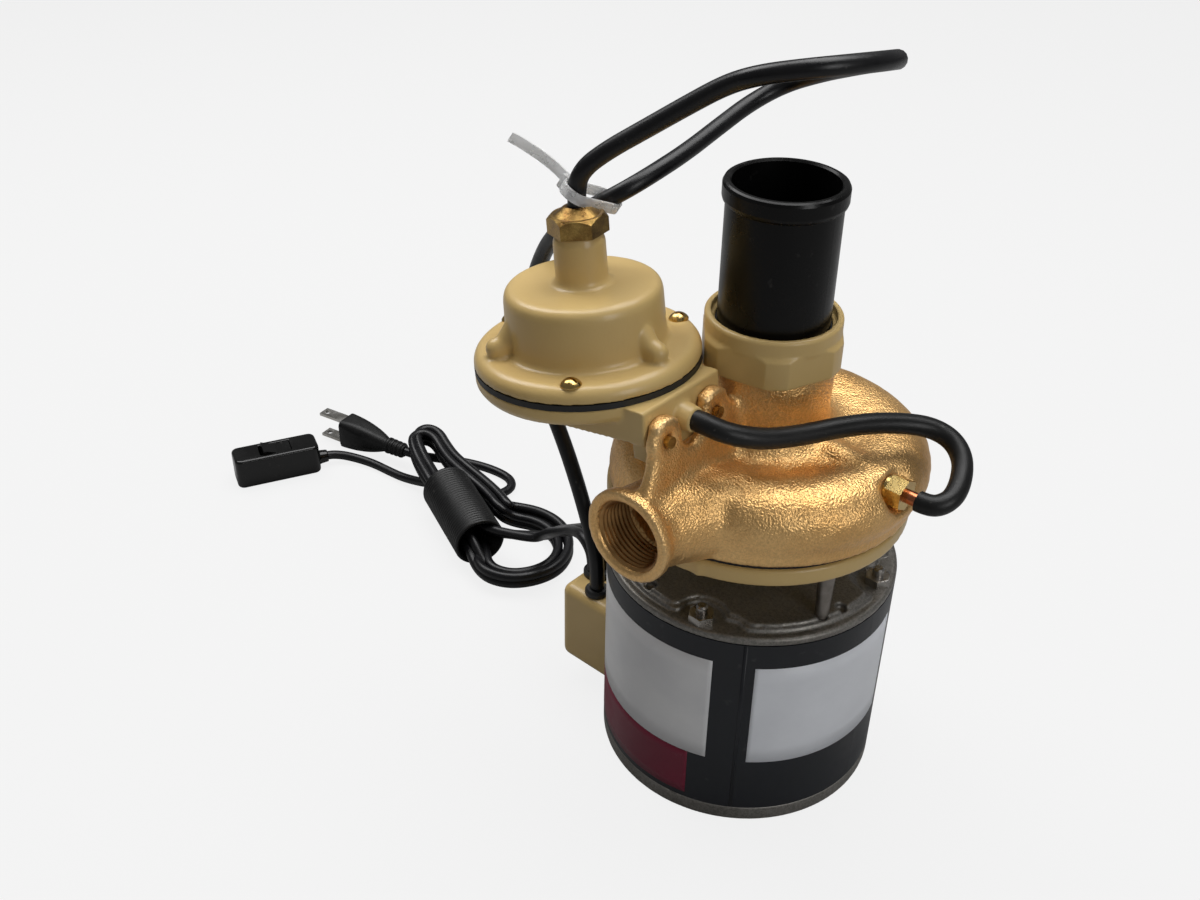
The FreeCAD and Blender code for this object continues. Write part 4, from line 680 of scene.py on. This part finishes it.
# The air hose
# Soft black rubber, pushed over the base's nozzle and over the copper tube at its far end.
hose_radius = 0.0036
hose_route = [Vector(p) for p in (
    (0.0013, -0.0460, 0.1681),
    (0.0063, -0.0460, 0.1686),
    (0.0134, -0.0440, 0.1670),
    (0.0182, -0.0394, 0.1650),
    (0.0226, -0.0322, 0.1626),
    (0.0280, -0.0196, 0.1606),
    (0.0334, -0.0070, 0.1600),
    (0.0394, 0.0046, 0.1590),
    (0.0460, 0.0146, 0.1572),
    (0.0528, 0.0214, 0.1554),
    (0.0600, 0.0236, 0.1526),
    (0.0662, 0.0204, 0.1492),
    (0.0700, 0.0136, 0.1458),
    (0.0714, 0.0068, 0.1430),
    (0.0696, 0.0022, 0.1415),
    (0.0664, 0.0000, 0.1410),
    (0.0626, 0.0000, 0.1410),
)]
air_hose = cord_piece("air_hose", hose_route, hose_radius, hose_finish)
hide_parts("vent_hose")


# The motor
# A rolled steel shell in charcoal enamel between two dull sand castings, with a lap seam.
enamel_finish = finish("charcoal_enamel", (0.013, 0.015, 0.019), (0.009, 0.010, 0.013), 0.42,
                       patch_size=22.0, grain_size=1400.0, grain_depth=0.00004, dust=0.04, specular=0.35)
casting_finish = finish("raw_aluminium", (0.330, 0.315, 0.290), (0.210, 0.198, 0.178), 0.46, metallic=0.75,
                        patch_size=30.0, grain_size=900.0, grain_depth=0.00012, grain_tint=0.35,
                        edge_colour=(0.46, 0.44, 0.40))
dress(enamel_finish, "motor_shell")
for node in ("bottom_end_bell", "top_end_bell"):
    cast = softened(node_copy(node), node.replace("end_bell", "casting"), casting_finish,
                    voxel=0.00055, rounds=0)
    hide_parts(node)

motor_radius = 0.054
seam_angle = math.radians(-56.0)
seam_width = math.radians(1.6)
seam_radius = motor_radius + 0.00002
seam_low = 0.0072
seam_high = 0.0875
seam_thickness = 0.00025
seam_bm = bmesh.new()
seam_foot = seam_bm.verts.new((seam_radius, 0.0, seam_low))
seam_head = seam_bm.verts.new((seam_radius, 0.0, seam_high))
seam_edge = seam_bm.edges.new((seam_foot, seam_head))
bmesh.ops.spin(seam_bm, geom=[seam_foot, seam_head, seam_edge], cent=(0, 0, 0), axis=(0, 0, 1),
               angle=seam_width, steps=3)
bmesh.ops.rotate(seam_bm, verts=seam_bm.verts, matrix=Matrix.Rotation(seam_angle, 3, "Z"))
bmesh.ops.solidify(seam_bm, geom=seam_bm.faces[:], thickness=-seam_thickness)
add_piece("shell_seam", seam_bm, enamel_finish)


# Plates on the shell
# Thin bare plates of printed film: a white one and a plain maroon one on the left, and a
# silvery one on the right. They carry no words.
film_gap = 0.00005
film_thickness = 0.00012
film_rows = 6


def film(name, colour, dark, roughness):
    """The finish of a printed film: smooth and a little dull."""
    return finish(name, colour, dark, roughness, patch_size=35.0,
                  grain_size=700.0, grain_depth=0.00003, dust=0.04, specular=0.35)


white_film = film("white_film", (0.70, 0.70, 0.70), (0.62, 0.62, 0.63), 0.40)
maroon_film = film("maroon_film", (0.170, 0.011, 0.034), (0.140, 0.008, 0.026), 0.40)
silver_film = film("silver_film", (0.78, 0.80, 0.84), (0.72, 0.74, 0.78), 0.38)


def plate(name, first, last, low, high, material):
    """A bent film between two angles and two heights, just proud of the shell."""
    bm = bmesh.new()
    radius = motor_radius + film_gap
    rows = [bm.verts.new((radius, 0.0, low + (high - low) * i / film_rows)) for i in range(film_rows + 1)]
    edges = [bm.edges.new(pair) for pair in zip(rows, rows[1:])]
    bmesh.ops.spin(bm, geom=rows + edges, cent=(0, 0, 0), axis=(0, 0, 1),
                   angle=math.radians(last - first), steps=40)
    bmesh.ops.rotate(bm, verts=bm.verts, matrix=Matrix.Rotation(math.radians(first), 3, "Z"))
    bmesh.ops.recalc_face_normals(bm, faces=bm.faces)
    bmesh.ops.solidify(bm, geom=bm.faces[:], thickness=film_thickness)
    bmesh.ops.recalc_face_normals(bm, faces=bm.faces)
    return add_piece(name, bm, material)


plate("white_plate", -146.0, -66.9, 0.0311, 0.0783, white_film)
plate("maroon_plate", -138.0, -74.1, 0.0093, 0.0309, maroon_film)
plate("silver_plate", -51.0, 17.0, 0.0315, 0.0774, silver_film)


# Bolts, posts and small metal parts
# Zinc plated steel: bright, a little cloudy.
steel_finish = finish("zinc_steel", (0.50, 0.48, 0.45), (0.30, 0.28, 0.26), 0.30, metallic=1.0,
                      patch_size=160.0, grain_size=2400.0, grain_depth=0.00003)
post_finish = finish("post_steel", (0.34, 0.31, 0.28), (0.20, 0.18, 0.16), 0.38, metallic=1.0,
                     patch_size=120.0, grain_size=1500.0, grain_depth=0.00005)
dress(steel_finish, "shaft", "thrust_washer", "switch_spring", "snap_bracket")
for number in range(1, 5):
    dress(steel_finish, "through_bolt_%d" % number)
    dress(post_finish, "post_%d" % number)


# The switch's spring
# The spring gets a mesh of its own; its shape is not changed here.
switch_middle = Vector((-0.0428, -0.0450, 0.1740))
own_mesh(nodes["switch_spring"])


# The bronze casing
# Sand cast: the skin is rough and sparkles, and all corners flow. Upright tool marks cover
# the turned band at its foot.
# Its lighter sharp edges are partly rubbed wear and partly a painted highlight.
bronze_finish = finish("cast_bronze", (0.97, 0.63, 0.27), (0.84, 0.48, 0.17), 0.38, metallic=0.85,
                       patch_size=26.0, grain_size=1000.0, grain_depth=0.00036, grain_tint=0.20,
                       rough_spread=0.04, edge_colour=(0.98, 0.76, 0.42))
tree = bronze_finish.node_tree
place = put(tree, "ShaderNodeTexCoord")
heights = put(tree, "ShaderNodeSeparateXYZ")
tree.links.new(place.outputs["Object"], heights.inputs[0])
on_band = put(tree, "ShaderNodeMapRange", From_Min=0.1330, From_Max=0.1305, To_Max=0.75)
tree.links.new(heights.outputs["Z"], on_band.inputs["Value"])
stretched = put(tree, "ShaderNodeMapping")
stretched.inputs["Scale"].default_value = (1.0, 1.0, 0.03)
tree.links.new(place.outputs["Object"], stretched.inputs["Vector"])
tool_marks = put(tree, "ShaderNodeTexNoise", Scale=1100.0, Detail=1.0)
tree.links.new(stretched.outputs["Vector"], tool_marks.inputs["Vector"])
sand_grains = put(tree, "ShaderNodeTexNoise", Scale=1300.0, Detail=1.0)
tree.links.new(place.outputs["Object"], sand_grains.inputs["Vector"])
skin_or_marks = put(tree, "ShaderNodeMix")
tree.links.new(on_band.outputs["Result"], skin_or_marks.inputs[0])
tree.links.new(sand_grains.outputs["Fac"], skin_or_marks.inputs[2])
tree.links.new(tool_marks.outputs["Fac"], skin_or_marks.inputs[3])
tree.links.new(skin_or_marks.outputs[0], tree.nodes["Bump"].inputs["Height"])


chamber_radius = 0.0425
chamber_top = 0.1365
socket_radius = 0.0200
foot_height = 0.1275
neck_height = 0.1715
discharge_height = 0.1345
discharge_place = (0.0, -0.0732, discharge_height)
bore_start = -0.050
bore_radius = 0.0138
collar_start = -0.0690
collar_radius = 0.0180


def tooled(place):
    """Whether a tool went over this place of the casting, or it is one of its hollows."""
    round_axis = math.hypot(place.x, place.y)
    round_mouth = math.hypot(place.x, place.z - discharge_height)
    chamber = round_axis < chamber_radius and place.z < chamber_top
    bore = place.y < bore_start and round_mouth < bore_radius
    collar = place.y < collar_start and round_mouth < collar_radius
    socket = round_axis < socket_radius
    return chamber or bore or collar or socket or place.z < foot_height or place.z > neck_height


casing = softened(node_copy("volute_casing"), "bronze_casing", bronze_finish,
                  voxel=0.00105, rounds=16, crisp=tooled, skin=0.00022)
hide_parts("volute_casing")

# The thread in the discharge mouth is painted dark: its colour stands for the shade inside the bore. The
# hidden impeller shares this finish.
bore_shade_bronze = finish("bore_shade_bronze", (0.54, 0.31, 0.12), (0.28, 0.14, 0.05), 0.34, metallic=1.0,
                    patch_size=90.0, grain_size=2000.0, grain_depth=0.00005)
thread_radius = 0.0125
thread_pitch = 0.001814
thread_turns = 8
steps_in_turn = 48
tooth_root = thread_radius + 0.0003
tooth_tip = thread_radius - 0.0011
tooth_form = ((tooth_root, 0.0), (tooth_tip, 0.42), (tooth_tip, 0.52), (tooth_root, 0.94))
thread_bm = bmesh.new()
tooth = [thread_bm.verts.new((radius, 0.0, share * thread_pitch)) for radius, share in tooth_form]
tooth_edges = [thread_bm.edges.new(pair) for pair in zip(tooth, tooth[1:])]
bmesh.ops.spin(thread_bm, geom=tooth + tooth_edges, cent=(0, 0, 0), axis=(0, 0, 1),
               angle=math.tau * thread_turns, steps=steps_in_turn * thread_turns,
               dvec=(0, 0, thread_pitch / steps_in_turn))
bmesh.ops.rotate(thread_bm, verts=thread_bm.verts, matrix=Matrix.Rotation(math.radians(-90.0), 3, "X"))
bmesh.ops.translate(thread_bm, verts=thread_bm.verts, vec=discharge_place)
bmesh.ops.recalc_face_normals(thread_bm, faces=thread_bm.faces)
add_piece("discharge_thread", thread_bm, bore_shade_bronze)
dress(bore_shade_bronze, "impeller")


# Painted castings
# Tan enamel, thick enough to round the edges: back plate, slip nut, switch base, switch
# cover and motor box.
tan_finish = finish("tan_enamel", (0.600, 0.430, 0.175), (0.550, 0.380, 0.145), 0.36, patch_size=18.0,
                    grain_size=420.0, grain_depth=0.00006, rough_spread=0.05, dust=0.03, coat=0.15,
                    specular=0.4)
thumb_radius = 0.0036
thumb_length = 0.0088
thumb_dip = 16.0
thumb_root = Vector((0.0225, 0.0, 0.0108))
cover_frame = Matrix.Translation(switch_middle) @ Matrix.Rotation(math.radians(-6.3), 4, "Y")
nozzle_length = 0.0100
nozzle_root_radius = 0.0057
nozzle_tip_radius = 0.0042
nozzle_reach = 0.0034


def add_thumbs(bm):
    """Three raised thumbs that slope down from the middle of the cover."""
    dip = Matrix.Rotation(math.radians(thumb_dip), 4, "Y")
    for angle in (0.0, 120.0, -120.0):
        thumb = bmesh.ops.create_uvsphere(bm, u_segments=24, v_segments=16, radius=thumb_radius)["verts"]
        for vert in thumb:
            if vert.co.x > 0.0:
                vert.co.x += thumb_length
        spin = Matrix.Rotation(math.radians(angle), 4, "Z")
        bmesh.ops.transform(bm, matrix=cover_frame @ spin @ Matrix.Translation(thumb_root) @ dip,
                            verts=thumb)


def add_nozzle(bm):
    """A cone on the switch's base that leads into the hose."""
    cone = bmesh.ops.create_cone(bm, cap_ends=True, segments=32, radius1=nozzle_root_radius,
                                 radius2=nozzle_tip_radius, depth=nozzle_length)["verts"]
    way = (hose_route[1] - hose_route[0]).normalized()
    standing = Vector((0, 0, 1)).rotation_difference(way).to_matrix().to_4x4()
    middle = hose_route[0] + way * (nozzle_reach - nozzle_length / 2)
    bmesh.ops.transform(bm, matrix=Matrix.Translation(middle) @ standing, verts=cone)


for node, name, voxel, rounds in (("back_plate", "painted_back_plate", 0.0008, 1),
                                  ("slip_nut", "painted_slip_nut", 0.00045, 0),
                                  ("switch_base", "painted_switch_base", 0.00055, 0),
                                  ("switch_cover", "painted_switch_cover", 0.0006, 3),
                                  ("motor_box", "painted_motor_box", 0.0006, 0)):
    blank = node_copy(node)
    if node == "switch_cover":
        add_thumbs(blank)
    if node == "switch_base":
        add_nozzle(blank)
    painted = softened(blank, name, tan_finish, voxel, rounds)
    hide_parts(node)


# The tailpiece
# Glossy black plastic tube with a rolled bead and faint marks of handling.
tube_finish = finish("black_tube", (0.003, 0.003, 0.003), (0.002, 0.002, 0.002), 0.28, patch_size=30.0,
                     grain_size=900.0, grain_depth=0.00003, dust=0.03, specular=0.22)
dress(tube_finish, "inlet_tube")


# Rubber, brass, copper and the sealed inside
# Gaskets and bushings are matt black; the gland and screws are brass; the rest is hidden
# in normal use and keeps the plain finish of its metal.
rubber_finish = finish("gasket_rubber", (0.012, 0.012, 0.012), (0.007, 0.007, 0.007), 0.55,
                       patch_size=60.0, grain_size=1500.0, grain_depth=0.00005)
dress(rubber_finish, "casing_gasket", "slip_washer", "diaphragm", "slinger", "lead_bushing",
      "mains_bushing", "snap_button")
# Its dark patches have the colour of the gland's shaded front face. This is painted shade, spread in random
# patches over the gland and the base screws.
gland_finish = finish("gland_brass", (0.62, 0.41, 0.13), (0.26, 0.13, 0.04), 0.32, metallic=1.0,
                      patch_size=120.0, grain_size=1200.0, grain_depth=0.00012, grain_tint=0.3)
dress(gland_finish, "gland_nut", "base_screw_1", "base_screw_2")
brass_finish = finish("brass", (0.76, 0.56, 0.22), (0.55, 0.36, 0.12), 0.24, metallic=1.0,
                      patch_size=140.0, grain_size=2200.0, grain_depth=0.00003)
dress(brass_finish, "impeller_nut", "air_fitting", "cover_screw_1", "cover_screw_2", "cover_screw_3")
copper_finish = finish("copper", (0.72, 0.27, 0.13), (0.50, 0.16, 0.07), 0.26, metallic=1.0,
                       patch_size=150.0, grain_size=1800.0, grain_depth=0.00003)
dress(copper_finish, "copper_tube")
winding_finish = finish("winding_copper", (0.48, 0.17, 0.07), (0.30, 0.09, 0.04), 0.32, metallic=1.0,
                        patch_size=300.0, grain_size=1500.0, grain_depth=0.00020)
dress(winding_finish, "stator_windings")
core_finish = finish("core_steel", (0.30, 0.30, 0.31), (0.20, 0.20, 0.21), 0.45, metallic=1.0,
                     patch_size=80.0, grain_size=1500.0, grain_depth=0.00004)
dress(core_finish, "stator_core", "rotor_core")
bright_aluminium = finish("bright_aluminium", (0.62, 0.62, 0.62), (0.50, 0.50, 0.50), 0.35, metallic=1.0,
                          patch_size=80.0, grain_size=1500.0, grain_depth=0.00004)
dress(bright_aluminium, "rotor_cage", "diaphragm_plate")
sintered_finish = finish("sintered_bronze", (0.45, 0.27, 0.12), (0.32, 0.18, 0.08), 0.45, metallic=1.0,
                         patch_size=200.0, grain_size=2500.0, grain_depth=0.00004)
dress(sintered_finish, "lower_bearing", "upper_bearing")
phenolic_finish = finish("brown_phenolic", (0.10, 0.045, 0.020), (0.07, 0.030, 0.014), 0.40,
                         patch_size=120.0, grain_size=1500.0, grain_depth=0.00004)
dress(phenolic_finish, "snap_switch")
carbon_finish = finish("seal_carbon", (0.040, 0.040, 0.042), (0.025, 0.025, 0.026), 0.40,
                       patch_size=200.0, grain_size=1800.0, grain_depth=0.00003)
dress(carbon_finish, "seal_head")
ceramic_finish = finish("white_ceramic", (0.72, 0.72, 0.69), (0.64, 0.64, 0.61), 0.35, patch_size=90.0,
                        grain_size=1500.0, grain_depth=0.00002)
dress(ceramic_finish, "seal_seat")
